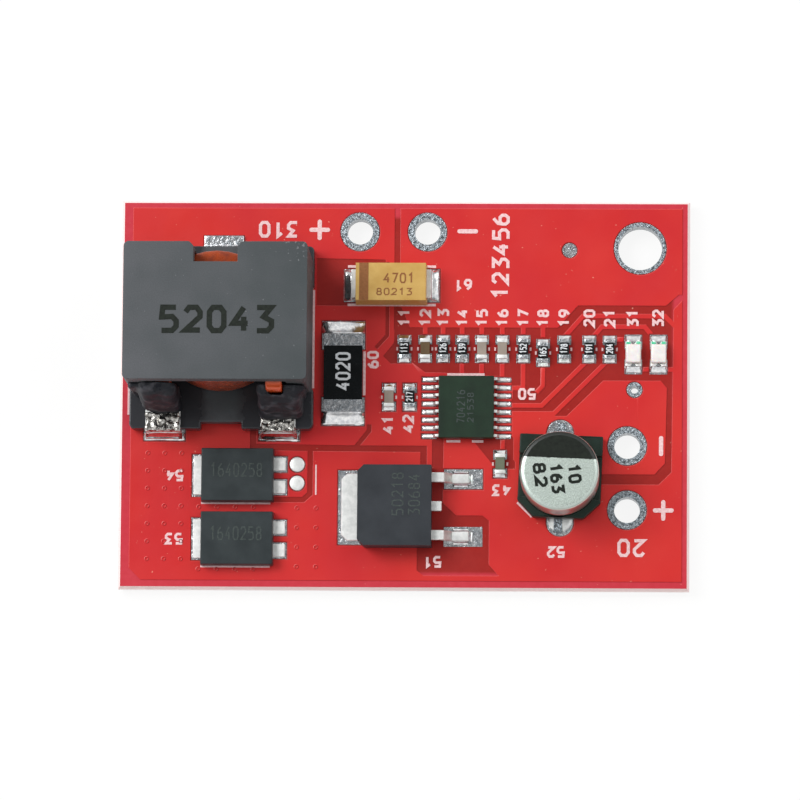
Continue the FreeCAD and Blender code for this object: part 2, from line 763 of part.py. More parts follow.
def plus_sign(x, y):
    half = (sign_length - sign_stroke) / 2
    return fused([sign_bar(x - half, y, x + half, y), sign_bar(x, y - half, x, y + half)])


def make_silkscreen():
    shapes = [plus_sign(battery_plus_x - 3.24, battery_y + 0.15)]
    shapes.append(sign_bar(battery_minus_x + 2.55, battery_y + 0.06, battery_minus_x + 3.86,
                           battery_y + 0.06))
    shapes.append(sign_bar(input_x + 2.69, input_minus_y - 0.63, input_x + 2.69,
                           input_minus_y + 0.63))
    shapes.append(plus_sign(input_x + 2.88, input_plus_y - 0.02))
    shapes += label("310", battery_plus_x - 6.52, battery_y + 0.18, 180, 1.35, 0.25)
    shapes += label("20", input_x + 0.36, input_plus_y - 3.02, 180, 1.45, 0.25)
    shapes += label("123456", battery_minus_x + 5.85, battery_y - 1.95, 90, 1.41, 0.25)
    for index, x in enumerate(row_x):
        shapes += label(str(11 + index), x, row_y + 2.5)
    for index, x in enumerate(led_x):
        shapes += label(str(31 + index), x - 0.05, row_y + 2.5)
    shapes += label("41", pair_x[0] - 0.05, pair_y - 2.2)
    shapes += label("42", pair_x[1] - 0.1, pair_y - 2.1)
    shapes += label("43", bypass_x + 0.1, bypass_y - 2.1, 180)
    shapes += label("50", controller_x + 4.8, controller_y + 1.15, 180)
    shapes += label("51", transistor_x + 3.0, transistor_y - 4.3, 180)
    shapes += label("52", can_x - 0.3, can_y - 5.9, 180)
    shapes += label("53", diode_x - 5.05, diode_y[0], 180)
    shapes += label("54", diode_x - 5.05, diode_y[1], 180)
    shapes += label("60", sense_x + 2.35, sense_y + 1.1)
    shapes += label("61", tantalum_x + 5.7, tantalum_y + 0.1, 180)
    reach = tantalum_length / 2 - 0.03
    for side in (-1, 1):
        y = tantalum_y + side * (tantalum_width / 2 - 0.015)
        shapes.append(line(tantalum_x - reach - 0.7, y, tantalum_x + reach + 0.7, y))
    shapes.append(line(sense_x + 1.68, sense_y - 1.76, sense_x + 1.68, sense_y + 1.76))
    shapes.append(line(can_x - 3.4, can_y - 1.97, can_x - 2.23, can_y - 3.13, 0.16))
    shapes.append(line(core_right - 0.1, axis_y - 4.6, core_right - 0.1, axis_y + 3.3))
    left = core_edge_gap - 0.2
    shapes.append(line(left, core_front_y + 1.3, left, core_rear_y - 0.4, 0.16))
    top = controller_y + controller_length / 2 + 0.18
    shapes.append(line(controller_x - 1.55, top, controller_x + 1.42, top))
    low = controller_y - controller_length / 2 - 0.15
    shapes.append(line(controller_x - 1.58, low, controller_x - 0.47, low))
    shapes.append(line(controller_x + 0.45, low, controller_x + 1.36, low))
    for y in diode_y:
        edge = y - diode_width / 2 - 0.02
        shapes.append(line(diode_x - diode_length / 2, edge, diode_x + diode_length / 2 - 0.3, edge))
    outline_x = diode_x + 6.22
    shapes.append(line(outline_x, diode_y[1] - 1.5, outline_x, diode_y[1] + 0.9, 0.12))
    for x, y, kind in chips:
        for side in (-1, 1):
            shapes.append(block(x + side * 0.57, y, 0.14, 0.26, laminate_thickness,
                                mask_top + silk_height))
    return shapes


# Inductor

def make_lower_core():
    middle_y = core_front_y + lower_core_depth / 2
    core = rounded_block(inductor_x, middle_y, lower_core_length, lower_core_depth,
                         lower_core_bottom, lower_core_top, core_corner_radius)
    recess_y = core_front_y + core_side_recess_start
    cuts = [block(inductor_x, core_front_y, core_front_notch_width, 2 * core_front_notch_depth,
                  lower_core_bottom, lower_core_top)]
    for side in (-1, 1):
        x = inductor_x + side * lower_core_length / 2
        cuts.append(box(x - core_side_recess, x + core_side_recess, recess_y,
                        recess_y + core_side_recess_length, lower_core_bottom, lower_core_top))
    return core.cut(cuts)


coil_inner = core_post_radius + coil_post_gap
coil_outer = coil_inner + turn_width
leg_inner = coil_outer + coil_leg_gap
coil_bottom = lower_core_top + coil_floor_gap
turn_pitch = turn_thickness + turn_gap
coil_top = coil_bottom + (turn_count - 1) * turn_pitch + turn_thickness


def make_upper_core():
    front = axis_y - upper_core_front
    rear = axis_y + upper_core_rear
    depth = upper_core_front + upper_core_rear
    core = rounded_block(inductor_x, front + depth / 2, upper_core_length, depth,
                         lower_core_top, inductor_top, core_corner_radius)
    window = fused([disc(inductor_x, axis_y, leg_inner, lower_core_top, plate_underside),
                    box(inductor_x - leg_inner, inductor_x + leg_inner, front - 1, axis_y,
                        lower_core_top, plate_underside)])
    half = rear_notch_width / 2
    notch = slab([(inductor_x - half, rear - rear_notch_depth),
                  (inductor_x + half, rear - rear_notch_depth),
                  (inductor_x + half, rear - rear_notch_flare),
                  (inductor_x + half + rear_notch_flare, rear + 0.01),
                  (inductor_x - half - rear_notch_flare, rear + 0.01),
                  (inductor_x - half, rear - rear_notch_flare)], lower_core_top, inductor_top)
    post = disc(inductor_x, axis_y, core_post_radius, lower_core_top, plate_underside)
    return core.cut([window, notch]).fuse(post)


def make_coil():
    pieces = []
    for turn in range(turn_count):
        z = coil_bottom + turn * turn_pitch
        ring = disc(inductor_x, axis_y, coil_outer, z, z + turn_thickness)
        pieces.append(ring.cut(disc(inductor_x, axis_y, coil_inner, z, z + turn_thickness)))
        if turn < turn_count - 1:
            pieces.append(box(inductor_x + coil_inner + riser_inset,
                              inductor_x + coil_outer - riser_inset,
                              axis_y, axis_y + riser_width, z + turn_thickness, z + turn_pitch))
    clip_rear = core_front_y + clip_top_reach
    left = box(inductor_x - coil_outer, inductor_x - coil_inner, clip_rear, axis_y,
               coil_bottom, coil_bottom + turn_thickness)
    front = axis_y - upper_core_front - coil_lead_reach
    right = box(inductor_x + coil_inner, inductor_x + coil_outer, front, axis_y,
                coil_top - turn_thickness, coil_top)
    drop = box(inductor_x + coil_inner, inductor_x + coil_outer, front, front + turn_thickness,
               lower_core_top + clip_thickness, coil_top)
    return fused(pieces + [left, right, drop])


def make_clip(x):
    t = clip_thickness
    front = core_front_y
    profile = [(front - t - clip_foot_toe, mask_top), (front + clip_foot_reach, mask_top),
               (front + clip_foot_reach, mask_top + t), (front, mask_top + t),
               (front, lower_core_top), (front + clip_top_reach, lower_core_top),
               (front + clip_top_reach, lower_core_top + t), (front - t, lower_core_top + t),
               (front - t, mask_top + t), (front - t - clip_foot_toe, mask_top + t)]
    return side_profile(profile, x - clip_width / 2, x + clip_width / 2)


def make_rear_clip():
    rear = core_rear_y
    t = clip_thickness
    start = rear - rear_clip_foot
    profile = [(start, mask_top), (rear + rear_clip_reach, mask_top),
               (rear + rear_clip_reach, mask_top + t), (rear + t, mask_top + t),
               (rear + t, mask_top + t + rear_clip_rise), (rear, mask_top + t + rear_clip_rise),
               (rear, mask_top + t), (start, mask_top + t)]
    return side_profile(profile, inductor_x - rear_clip_width / 2, inductor_x + rear_clip_width / 2)


def make_epoxy(x, side, width, height, reach, neighbours):
    back = axis_y - upper_core_front
    low = lower_core_top
    profile = [(back, low), (back - reach, low), (back - reach * 0.93, low + height * 0.35),
               (back - reach * 0.72, low + height * 0.7), (back - reach * 0.35, low + height * 0.92),
               (back, low + height)]
    lump = side_profile(profile, x - width / 2, x + width / 2)
    upright = [e for e in lump.Edges
               if abs(e.tangentAt(e.FirstParameter).x) < 0.01 and e.BoundBox.YMin < back - 0.1
               and e.BoundBox.YMax - e.BoundBox.YMin < reach and e.BoundBox.ZMax > low + 0.1]
    lump = lump.makeChamfer(epoxy_chamfer, upright)
    leg_side = inductor_x + side * (upper_core_length / 2 - epoxy_smear_inset)
    smear = box(min(x, leg_side), max(x, leg_side), back - epoxy_smear, back, low,
                low + height * 0.9)
    return lump.fuse(smear).cut(neighbours)


# Power parts

def make_sense_resistor():
    z0 = mask_top + chip_cap_thickness
    z1 = mask_top + sense_thickness - sense_coat_thickness
    body = block(sense_x, sense_y, sense_width, sense_length - 2 * chip_cap_thickness, z0, z1)
    coat = block(sense_x, sense_y, sense_width, sense_coat_length, z1, z1 + sense_coat_thickness)
    cap_reach = (sense_length - sense_coat_length) / 2
    caps = []
    for side in (-1, 1):
        y = sense_y + side * (sense_length - cap_reach) / 2
        cap = block(sense_x, y, sense_width, cap_reach, mask_top, z1 + sense_coat_thickness)
        caps.append(cap.cut(body))
    return fused([body, coat]), caps


def make_tantalum():
    t = tantalum_terminal_thickness
    z0 = mask_top + tantalum_standoff
    z1 = mask_top + tantalum_height
    body = tapered(tantalum_x, tantalum_y, tantalum_length, tantalum_width, z0, z1,
                   tantalum_draft)
    terminals = []
    for side in (-1, 1):
        end = tantalum_length / 2
        out = end + tantalum_terminal_out
        lip = end - tantalum_terminal_lip
        rise = z0 + tantalum_terminal_rise
        profile = [(end - tantalum_terminal_foot, mask_top), (out, mask_top), (out, rise),
                   (lip, rise), (lip, rise - t), (out - t, rise - t), (out - t, mask_top + t),
                   (end - tantalum_terminal_foot, mask_top + t)]
        points = [(tantalum_x + side * x, z) for x, z in profile]
        half = tantalum_terminal_width / 2
        terminals.append(front_profile(points, tantalum_y - half, tantalum_y + half))
    return body.cut(terminals), terminals


def make_transistor():
    t = transistor_tab_thickness
    z0 = mask_top + transistor_standoff
    z1 = z0 + transistor_height
    x0 = transistor_x - transistor_length / 2
    x1 = transistor_x + transistor_length / 2
    y0 = transistor_y - transistor_width / 2
    y1 = transistor_y + transistor_width / 2
    c = transistor_chamfer
    body = slab([(x0 + c, y0), (x1, y0), (x1, y1), (x0 + c, y1), (x0, y1 - c), (x0, y0 + c)], z0, z1)
    tab_end = x0 - transistor_tab_reach
    half = transistor_tab_width / 2
    k = transistor_tab_chamfer
    plate_right = x1 - transistor_plate_inset
    plate = slab([(tab_end + k, transistor_y - half), (plate_right, transistor_y - half),
                  (plate_right, transistor_y + half), (tab_end + k, transistor_y + half),
                  (tab_end, transistor_y + half - k), (tab_end, transistor_y - half + k)],
                 mask_top, mask_top + t)
    lead_z = mask_top + 2 * t
    stub_half = transistor_lead_width / 2
    riser = box(plate_right - t, plate_right, transistor_y - stub_half, transistor_y + stub_half,
                mask_top + t, lead_z + t)
    stub = box(plate_right - t, x1 + transistor_stub_reach, transistor_y - stub_half,
               transistor_y + stub_half, lead_z, lead_z + t)
    tab = fused([plate, riser, stub])
    reach = x1 + transistor_lead_reach
    foot = reach - transistor_lead_foot
    slope = transistor_lead_slope
    inner = x1 - transistor_lead_inset
    heel = foot - slope / 2
    profile = [(inner, lead_z), (heel - slope, lead_z), (heel, mask_top), (reach, mask_top),
               (reach, mask_top + t), (foot, mask_top + t), (foot - slope, lead_z + t),
               (inner, lead_z + t)]
    leads = []
    for side in (-1, 1):
        y = transistor_y + side * transistor_lead_spread
        leads.append(front_profile(profile, y - stub_half, y + stub_half))
    return body.cut([tab] + leads), tab, leads


def make_diode(y):
    t = diode_plate_thickness
    z0 = mask_top + diode_standoff
    z1 = z0 + diode_height
    body = tapered(diode_x, y, diode_length, diode_width, z0, z1, diode_draft)
    left = diode_x - diode_length / 2
    tab = block(left - diode_tab_reach + diode_tab_length / 2, y, diode_tab_length, diode_tab_width,
                mask_top, mask_top + t)
    leads = []
    for side in (-1, 1):
        lead_y = y + side * diode_lead_spread
        leads.append(block(diode_lead_tip_x - diode_lead_length / 2, lead_y, diode_lead_length,
                           diode_lead_width, mask_top, mask_top + t))
    return body.cut([tab] + leads), tab, leads


def make_electrolytic():
    seat = mask_top + can_lead_thickness
    floor = seat + can_base_floor
    half = can_base_size / 2
    c = can_base_chamfer
    outline = [(can_x - half + c, can_y - half), (can_x + half - c, can_y - half),
               (can_x + half, can_y - half + c), (can_x + half, can_y + half),
               (can_x - half, can_y + half), (can_x - half, can_y - half + c)]
    base = slab(outline, seat, floor + can_base_wall)
    well = disc(can_x, can_y, can_radius + can_seat_clearance, floor, floor + can_base_wall)
    slot = block(can_x, can_y, can_base_size, 2 * (can_radius - can_base_slot_margin),
                 floor, floor + can_base_wall)
    base = base.cut([well, slot])
    can_top = mask_top + can_height
    can = disc(can_x, can_y, can_radius, floor, can_top)
    rim = [e for e in can.Edges if e.BoundBox.ZMin > can_top - 0.01]
    can = can.makeFillet(can_edge_radius, rim)
    groove_z = floor + can_base_wall + can_groove_rise
    ring = disc(can_x, can_y, can_radius + 1, groove_z, groove_z + can_groove_height)
    core = disc(can_x, can_y, can_radius - can_groove_depth, groove_z, groove_z + can_groove_height)
    can = can.cut(ring.cut(core))
    leads = []
    for side in (-1, 1):
        start = can_y + side * can_lead_start
        end = can_y + side * (half + can_lead_reach)
        leads.append(box(can_x - can_lead_width / 2, can_x + can_lead_width / 2,
                         min(start, end), max(start, end), mask_top, seat))
    turned_parts = []
    for shape in [can, base] + leads:
        turned_parts.append(turned(shape, can_x, can_y, can_turn))
    return turned_parts[0], turned_parts[1], turned_parts[2:]


# Controller and small parts

def make_controller():
    z0 = mask_top + controller_standoff
    z1 = z0 + controller_height
    mid = (z0 + z1) / 2
    t = controller_pin_thickness
    lower = tapered(controller_x, controller_y, controller_width - 2 * controller_draft,
                    controller_length - 2 * controller_draft, z0, mid, -controller_draft)
    upper = tapered(controller_x, controller_y, controller_width, controller_length,
                    mid, z1, controller_draft)
    pins = []
    for side in (-1, 1):
        edge = controller_width / 2
        tip = edge + controller_pin_reach
        foot = tip - controller_pin_foot
        inner = edge - controller_pin_inset
        heel = foot - t / 2
        profile = [(inner, mid), (heel - controller_pin_slope, mid), (heel, mask_top),
                   (tip, mask_top), (tip, mask_top + t), (heel + t, mask_top + t),
                   (heel + t - controller_pin_slope, mid + t), (inner, mid + t)]
        points = [(controller_x + side * x, z) for x, z in profile]
        half = controller_pin_width / 2
        for y in controller_pin_ys():
            pins.append(front_profile(points, y - half, y + half))
    return fused([lower, upper]).cut(pins), pins


def make_chip(x, y, kind):
    t = chip_cap_thickness
    z1 = mask_top + chip_height
    length = chip_length - 2 * t
    if kind == "R":
        body = fused([block(x, y, chip_width, length, mask_top + t, z1 - t),
                      block(x, y, chip_width, chip_length - 2 * chip_cap_length, z1 - t, z1)])
    else:
        body = block(x, y, chip_width - 2 * t, length, mask_top + t, z1 - t)
    caps = []
    for side in (-1, 1):
        cap_y = y + side * (chip_length - chip_cap_length) / 2
        caps.append(block(x, cap_y, chip_width, chip_cap_length, mask_top, z1).cut(body))
    return body, caps


def make_led(x):
    z1 = mask_top + led_base_height
    base = block(x, led_y, led_width, led_length, mask_top, z1)
    terminals = []
    for side in (-1, 1):
        end = led_y + side * led_length / 2
        notch = disc(x, end, led_notch_radius, mask_top, z1)
        strip_y = led_y + side * (led_length - led_terminal_length) / 2
        terminal = block(x, strip_y, led_width, led_terminal_length, mask_top, z1).cut(notch)
        terminals.append(terminal)
        base = base.cut([terminal, notch])
    lens = tapered(x, led_y, led_width, led_lens_length, z1, z1 + led_lens_height, led_lens_taper)
    return base, lens, terminals


def solder_wedge(x, y, width, reach, height, side, z0=mask_top):
    points = [(y, z0), (y + side * reach, z0), (y + side * reach * 0.42, z0 + height * 0.32),
              (y, z0 + height)]
    return side_profile(points, x - width / 2, x + width / 2)


def make_solder():
    shapes = []
    for x, y, kind in chips:
        for side in (-1, 1):
            shapes.append(solder_wedge(x, y + side * chip_length / 2, chip_width,
                                       chip_pad_end * fillet_reach_share,
                                       chip_height * fillet_rise_share, side))
    for x in led_x:
        for side in (-1, 1):
            shapes.append(solder_wedge(x, led_y + side * led_length / 2, led_width,
                                       led_pad_end * fillet_reach_share,
                                       led_base_height * fillet_rise_share, side))
    for side in (-1, 1):
        shapes.append(solder_wedge(sense_x, sense_y + side * sense_length / 2, sense_width,
                                   sense_pad_end * fillet_reach_share,
                                   sense_thickness * fillet_rise_share, side))
    for x in clip_x:
        front = core_front_y - clip_thickness
        shapes.append(solder_wedge(x, front, clip_width, clip_foot_toe, terminal_fillet_rise, -1,
                                   mask_top + clip_thickness))
        drop = Part.makeSphere(solder_drop_radius, V(x - 0.3, core_front_y + 0.55, lower_core_top))
        above = block(x, core_front_y + 0.55, clip_width, 2 * 0.55, lower_core_top + clip_thickness,
                      lower_core_top + solder_drop_radius)
        shapes.append(drop.common(above))
    for side in (-1, 1):
        half = tantalum_length / 2 + tantalum_terminal_out
        toe = half + (tantalum_pad_out - tantalum_terminal_out) * fillet_reach_share
        points = [(tantalum_x + side * half, mask_top), (tantalum_x + side * toe, mask_top),
                  (tantalum_x + side * half, mask_top + tantalum_fillet_rise)]
        width = tantalum_terminal_width / 2
        shapes.append(front_profile(points, tantalum_y - width, tantalum_y + width))
    return shapes


# Marks on the parts, plain numbers in place of the printed codes

def mark(text, x, y, height, stroke, turn, z, spread=1):
    return numerals(text, x, y, height, stroke, turn, z, z + mark_height, spread)


def make_white_marks():
    shapes = []
    number = 0
    for x, y, kind in chips:
        if kind == "R":
            number += 1
            shapes += mark(str(100 + 13 * number), x, y, 0.56, 0.08, 90, mask_top + chip_height, 0.54)
    shapes += mark("4020", sense_x, sense_y + 0.1, 1.21, 0.19, 90, mask_top + sense_thickness, 0.76)
    return shapes


def make_black_marks():
    y = axis_y - 0.5
    shapes = mark("52043", inductor_x + 0.15, y, 2.25, 0.42, 0, inductor_top)
    top = mask_top + can_height
    cut = can_radius - can_edge_radius
    level = can_y + 1.0
    segment = disc(can_x, can_y, cut, top, top + mark_height)
    segment = segment.common(box(can_x - cut, can_x + cut, level, can_y + cut,
                                 top, top + mark_height))
    shapes.append(turned(segment, can_x, can_y, can_turn))
    for text, dx, dy, spread in (("10", 1.19, -0.25, 1), ("163", -0.19, -0.62, 1),
                                 ("82", -1.49, -0.37, 1.3)):
        shapes += mark(text, can_x + dx, can_y + dy, 1.05, 0.24, 278, top, spread)
    return shapes


def make_brown_marks():
    top = mask_top + tantalum_height
    stripe_x = tantalum_x - tantalum_length / 2 + stripe_inset + stripe_width / 2
    shapes = [block(stripe_x, tantalum_y, stripe_width, tantalum_width - 0.14, top, top + mark_height)]
    shapes += mark("4701", tantalum_x + 0.65, tantalum_y + 0.28, 0.84, 0.12, 0, top, 0.87)
    shapes += mark("80213", tantalum_x + 0.28, tantalum_y - 0.81, 0.59, 0.09, 0, top, 1.17)
    return shapes


def make_grey_marks():
    top = mask_top + controller_standoff + controller_height
    shapes = mark("704216", controller_x - 0.42, controller_y, 0.67, 0.08, 90, top, 0.76)
    shapes += mark("21538", controller_x + 0.34, controller_y - 0.07, 0.52, 0.07, 90, top, 1.09)
    top = mask_top + transistor_standoff + transistor_height
    shapes += mark("50218", transistor_x + 0.27, transistor_y + 0.86, 0.95, 0.1, 90, top, 0.83)
    shapes += mark("30684", transistor_x + 1.58, transistor_y + 0.81, 0.95, 0.1, 90, top, 0.79)
    top = mask_top + diode_standoff + diode_height
    for y in diode_y:
        shapes += mark("1640258", diode_x - 0.06, y + 0.35, 1.1, mark_stroke, 0, top, 0.6)
    return shapes


# Assembly

save("board", [make_board(make_hole_cuts())])
copper_solids = make_copper()
save("masked_copper_top", copper_solids)
for name, x, y, hole, ring in plated_holes:
    save(name, [make_eyelet(x, y, hole, ring)])
save("tinned_pads_top", make_pads())
print_solids = [s.cut(copper_solids) for s in make_silkscreen()]
save("silkscreen_top", print_solids)

coil = make_coil()
clips = [make_clip(x) for x in clip_x]
lower_core = make_lower_core()
upper_core = make_upper_core()
save("inductor_lower_core", [lower_core])
save("inductor_upper_core", [upper_core])
save("inductor_coil", [coil])
save("inductor_terminal_left", [clips[0]])
save("inductor_terminal_right", [clips[1]])
save("inductor_terminal_rear", [make_rear_clip()])
near_epoxy = [coil, clips[0], clips[1], lower_core, upper_core]
solder_solids = [s.cut([coil]) for s in make_solder()]
left_epoxy = make_epoxy(clip_x[0], -1, epoxy_left_width, epoxy_left_height, epoxy_left_reach,
                        near_epoxy + solder_solids)
right_epoxy = make_epoxy(clip_x[1] + epoxy_right_shift, 1, epoxy_right_width, epoxy_right_height,
                         epoxy_right_reach, near_epoxy + solder_solids)
save("inductor_epoxy_left", [left_epoxy])
save("inductor_epoxy_right", [right_epoxy])
save("solder_joints", solder_solids)

sense_body, sense_caps = make_sense_resistor()
save("sense_resistor_body", [sense_body])
save("sense_resistor_end_caps", sense_caps)
tantalum_body, tantalum_terminals = make_tantalum()
save("tantalum_capacitor_body", [tantalum_body])
save("tantalum_capacitor_terminals", tantalum_terminals)
transistor_body, transistor_tab, transistor_leads = make_transistor()
save("transistor_body", [transistor_body])
save("transistor_tab", [transistor_tab])
save("transistor_leads", transistor_leads)
for index, y in enumerate(diode_y):
    diode_body, diode_tab, diode_leads = make_diode(y)
    save("diode_%d_body" % (index + 1), [diode_body])
    save("diode_%d_tab" % (index + 1), [diode_tab])
    save("diode_%d_leads" % (index + 1), diode_leads)
can, can_base, can_leads = make_electrolytic()
save("electrolytic_can", [can])
save("electrolytic_base", [can_base])
save("electrolytic_leads", can_leads)
controller_body, controller_pins = make_controller()
save("controller_body", [controller_body])
save("controller_leads", controller_pins)

end_caps = {"R": [], "C": []}
counts = {"R": 0, "C": 0}
names = {"R": "resistor_%d_body", "C": "ceramic_capacitor_%d_body"}
for x, y, kind in chips:
    chip_body, caps = make_chip(x, y, kind)
    counts[kind] += 1
    end_caps[kind].extend(caps)
    save(names[kind] % counts[kind], [chip_body])
save("resistor_end_caps", end_caps["R"])
save("capacitor_end_caps", end_caps["C"])
lights = [make_led(x) for x in led_x]
save("status_light_substrates", [light[0] for light in lights])
save("status_light_lenses", [light[1] for light in lights])
save("status_light_terminals", lights[0][2] + lights[1][2])

save("marks_white", make_white_marks())
save("marks_black", make_black_marks())
save("marks_brown", make_brown_marks())
save("marks_grey", make_grey_marks())
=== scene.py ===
# %% [markdown]
# A lithium battery charger board, dressed for its portrait.
# The board is a sheet of red-masked glass laminate, 45 mm long, with a ferrite-cored
# inductor, flat moulded packages, small ceramic chips, one metal can and two lights.
# The model comes with every part at its real size and place. This lesson gives each
# part its worn edges, its solder and its surface, and then sets up the light.

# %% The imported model
import math
from functools import partial

import bmesh
import bpy
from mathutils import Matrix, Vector


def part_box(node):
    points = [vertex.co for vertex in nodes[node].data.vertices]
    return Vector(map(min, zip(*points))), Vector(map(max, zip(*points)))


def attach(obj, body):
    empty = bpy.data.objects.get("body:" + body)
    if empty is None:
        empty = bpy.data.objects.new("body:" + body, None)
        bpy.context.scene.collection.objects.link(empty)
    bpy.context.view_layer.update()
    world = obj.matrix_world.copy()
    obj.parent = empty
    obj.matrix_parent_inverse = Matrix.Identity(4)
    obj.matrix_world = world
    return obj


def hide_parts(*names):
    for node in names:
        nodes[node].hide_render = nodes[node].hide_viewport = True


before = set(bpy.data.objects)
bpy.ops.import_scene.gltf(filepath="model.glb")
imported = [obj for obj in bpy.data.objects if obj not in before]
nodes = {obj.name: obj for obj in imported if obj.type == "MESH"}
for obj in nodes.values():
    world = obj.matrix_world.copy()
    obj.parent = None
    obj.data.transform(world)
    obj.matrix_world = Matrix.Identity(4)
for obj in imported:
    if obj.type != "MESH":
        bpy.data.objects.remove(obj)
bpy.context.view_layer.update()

MM = 0.001
print(len(nodes), "parts came with the model")

# %% [markdown]
# The photograph was taken from almost straight above with a long lens, half a metre
# away and a little to the front and right. A long lens keeps the board's edges nearly
# parallel, and the small offset is what shows the front faces of the tall parts.
# The camera is made first, so that every step can be judged through it.

# %% Camera
camera = bpy.data.objects.new("camera", bpy.data.cameras.new("camera"))
bpy.context.scene.collection.objects.link(camera)
camera.data.lens = 290.8
camera.data.sensor_width = 36
camera.location = (18.894 * MM, -63.468 * MM, 511.971 * MM)
camera.rotation_mode = "ZYX"
camera.rotation_euler = (0.1229, 0.0374, 0.0037)
bpy.context.scene.camera = camera
bpy.context.scene.view_settings.view_transform = "Standard"
print("camera", round(camera.data.lens), "mm")

# %% [markdown]
# Four small helpers carry the whole lesson. Blender's operators act on whatever is
# selected, so the first selects one object and nothing else, and the second does so with
# a new shape. The third opens a mesh for editing, all of it selected. The last picks
# faces, edges or points by a test of their middle and normal, which is the scripted form
# of clicking on them.

# %% Selecting
def only(piece):
    bpy.ops.object.select_all(action="DESELECT")
    piece.select_set(True)
    bpy.context.view_layer.objects.active = piece


def new_piece(name, add_shape, **settings):
    bpy.ops.object.select_all(action="DESELECT")
    add_shape(**settings)
    bpy.context.object.name = name
    return bpy.context.object


def editing(piece):
    only(piece)
    bpy.ops.object.mode_set(mode="EDIT")
    bpy.ops.mesh.select_all(action="SELECT")


def done():
    bpy.ops.object.mode_set(mode="OBJECT")


def middle(item):
    if isinstance(item, bmesh.types.BMVert):
        return item.co
    return sum((v.co for v in item.verts), Vector()) / len(item.verts)


def choose(kind, test):
    mesh = bmesh.from_edit_mesh(bpy.context.edit_object.data)
    bpy.ops.mesh.select_mode(type=kind)
    bpy.ops.mesh.select_all(action="DESELECT")
    items = {"VERT": mesh.verts, "EDGE": mesh.edges, "FACE": mesh.faces}[kind]
    for item in [item for item in items if test(item, middle(item))]:
        item.select_set(True)
    bmesh.update_edit_mesh(bpy.context.edit_object.data)


# %% [markdown]
# Modifiers such as Bevel and Displace do the last of the shaping. Each is added with
# its settings and applied at once, so that a finished piece is a plain mesh. The piece
# then rides on the model's one body, takes its finish and, where it stands for a part
# of the model, hides that part.

# %% Finishing a piece
def apply_modifier(piece, kind, **settings):
    only(piece)
    modifier = piece.modifiers.new(kind, kind)
    for name, value in settings.items():
        setattr(modifier, name, value)
    bpy.ops.object.modifier_apply(modifier=modifier.name)


def rounded_edges(piece, width, segments=2, angle=30):
    apply_modifier(piece, "BEVEL", width=width, segments=segments, limit_method="ANGLE",
                   angle_limit=math.radians(angle), use_clamp_overlap=True)


def settle(piece):
    only(piece)
    bpy.ops.object.transform_apply(location=True, rotation=True, scale=True)


def finish_piece(piece, material, replaces=(), smooth=40):
    settle(piece)
    bpy.ops.object.shade_smooth_by_angle(angle=math.radians(smooth))
    piece.data.materials.clear()
    piece.data.materials.append(material)
    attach(piece, "root")
    if replaces:
        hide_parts(*replaces)
    print(piece.name, len(piece.data.polygons), "faces")


def joined(pieces, name):
    bpy.ops.object.select_all(action="DESELECT")
    for piece in pieces:
        piece.select_set(True)
    bpy.context.view_layer.objects.active = pieces[0]
    if len(pieces) > 1:
        bpy.ops.object.join()
    pieces[0].name = name
    return pieces[0]


def own_copy(piece, place_at, turn):
    copy = piece.copy()
    copy.data = piece.data.copy()
    bpy.context.scene.collection.objects.link(copy)
    copy.location = place_at
    copy.rotation_euler.z = turn
    settle(copy)
    return copy


# %% [markdown]
# Most parts of the board are blocks: moulded packages, sintered cores and pressed
# terminals. Their model is right but its edges are knife sharp, and no real edge is.
# One function copies such a part's mesh, merges its loose triangles, dissolves them
# back to whole faces and bevels what is left by a real radius. A cube could be
# modelled again for each, but a copy keeps the part's true size.

# %% Softened copies
def loose_copy(names, name):
    copies = []
    for node_name in names:
        copy = bpy.data.objects.new(name, nodes[node_name].data.copy())
        bpy.context.scene.collection.objects.link(copy)
        copies.append(copy)
    piece = joined(copies, name)
    editing(piece)
    bpy.ops.mesh.remove_doubles(threshold=0.001 * MM)
    bpy.ops.mesh.dissolve_limited(angle_limit=math.radians(1))
    done()
    return piece


def softened(part, name, radius_mm, material, segments=2):
    piece = loose_copy([part], name)
    rounded_edges(piece, radius_mm * MM, segments)
    finish_piece(piece, material, [part])
    apply_modifier(piece, "WEIGHTED_NORMAL", keep_sharp=True)


# %% [markdown]
# Every finish below is a small node tree read at real scale. It takes the piece's own
# coordinates, in metres, so a noise with a cell of half a millimetre keeps that size on
# every part. One function turns an sRGB hex value to linear. One adds a node of any kind:
# plain values and other nodes' outputs fill its inputs in order, a name with a capital
# letter is an input, and any other name is a setting. It gives back the node's first
# output, or the one it names. A blank material comes with that function, tied to its tree.

# %% Colours and nodes
RGBA = {"data_type": "RGBA"}


def linear(code):
    channels = [int(code[i:i + 2], 16) / 255 for i in (1, 3, 5)]
    return [c / 12.92 if c <= 0.04045 else ((c + 0.055) / 1.055) ** 2.4 for c in channels] + [1]


def node(tree, kind, *values, result="", **extras):
    made = tree.nodes.new("ShaderNode" + kind)
    for name, value in extras.items():
        if not name[0].isupper():
            setattr(made, name, value)
    filled = list(zip([socket for socket in made.inputs if socket.enabled], values))
    for name, value in extras.items():
        if name[0].isupper():
            filled.append((made.inputs[name.replace("_", " ")], value))
    for socket, value in filled:
        if isinstance(value, bpy.types.NodeSocket):
            tree.links.new(value, socket)
        else:
            socket.default_value = linear(value) if isinstance(value, str) else value
    outputs = [socket for socket in made.outputs if socket.enabled]
    return made.outputs[result] if result else (outputs + [None])[0]


def cells(size_mm):
    return 1 / (size_mm * MM)


def blank_material(name):
    material = bpy.data.materials.new(name)
    material.use_nodes = True
    material.node_tree.nodes.clear()
    add = partial(node, material.node_tree)
    return material, add, add("TexCoord", result="Object")


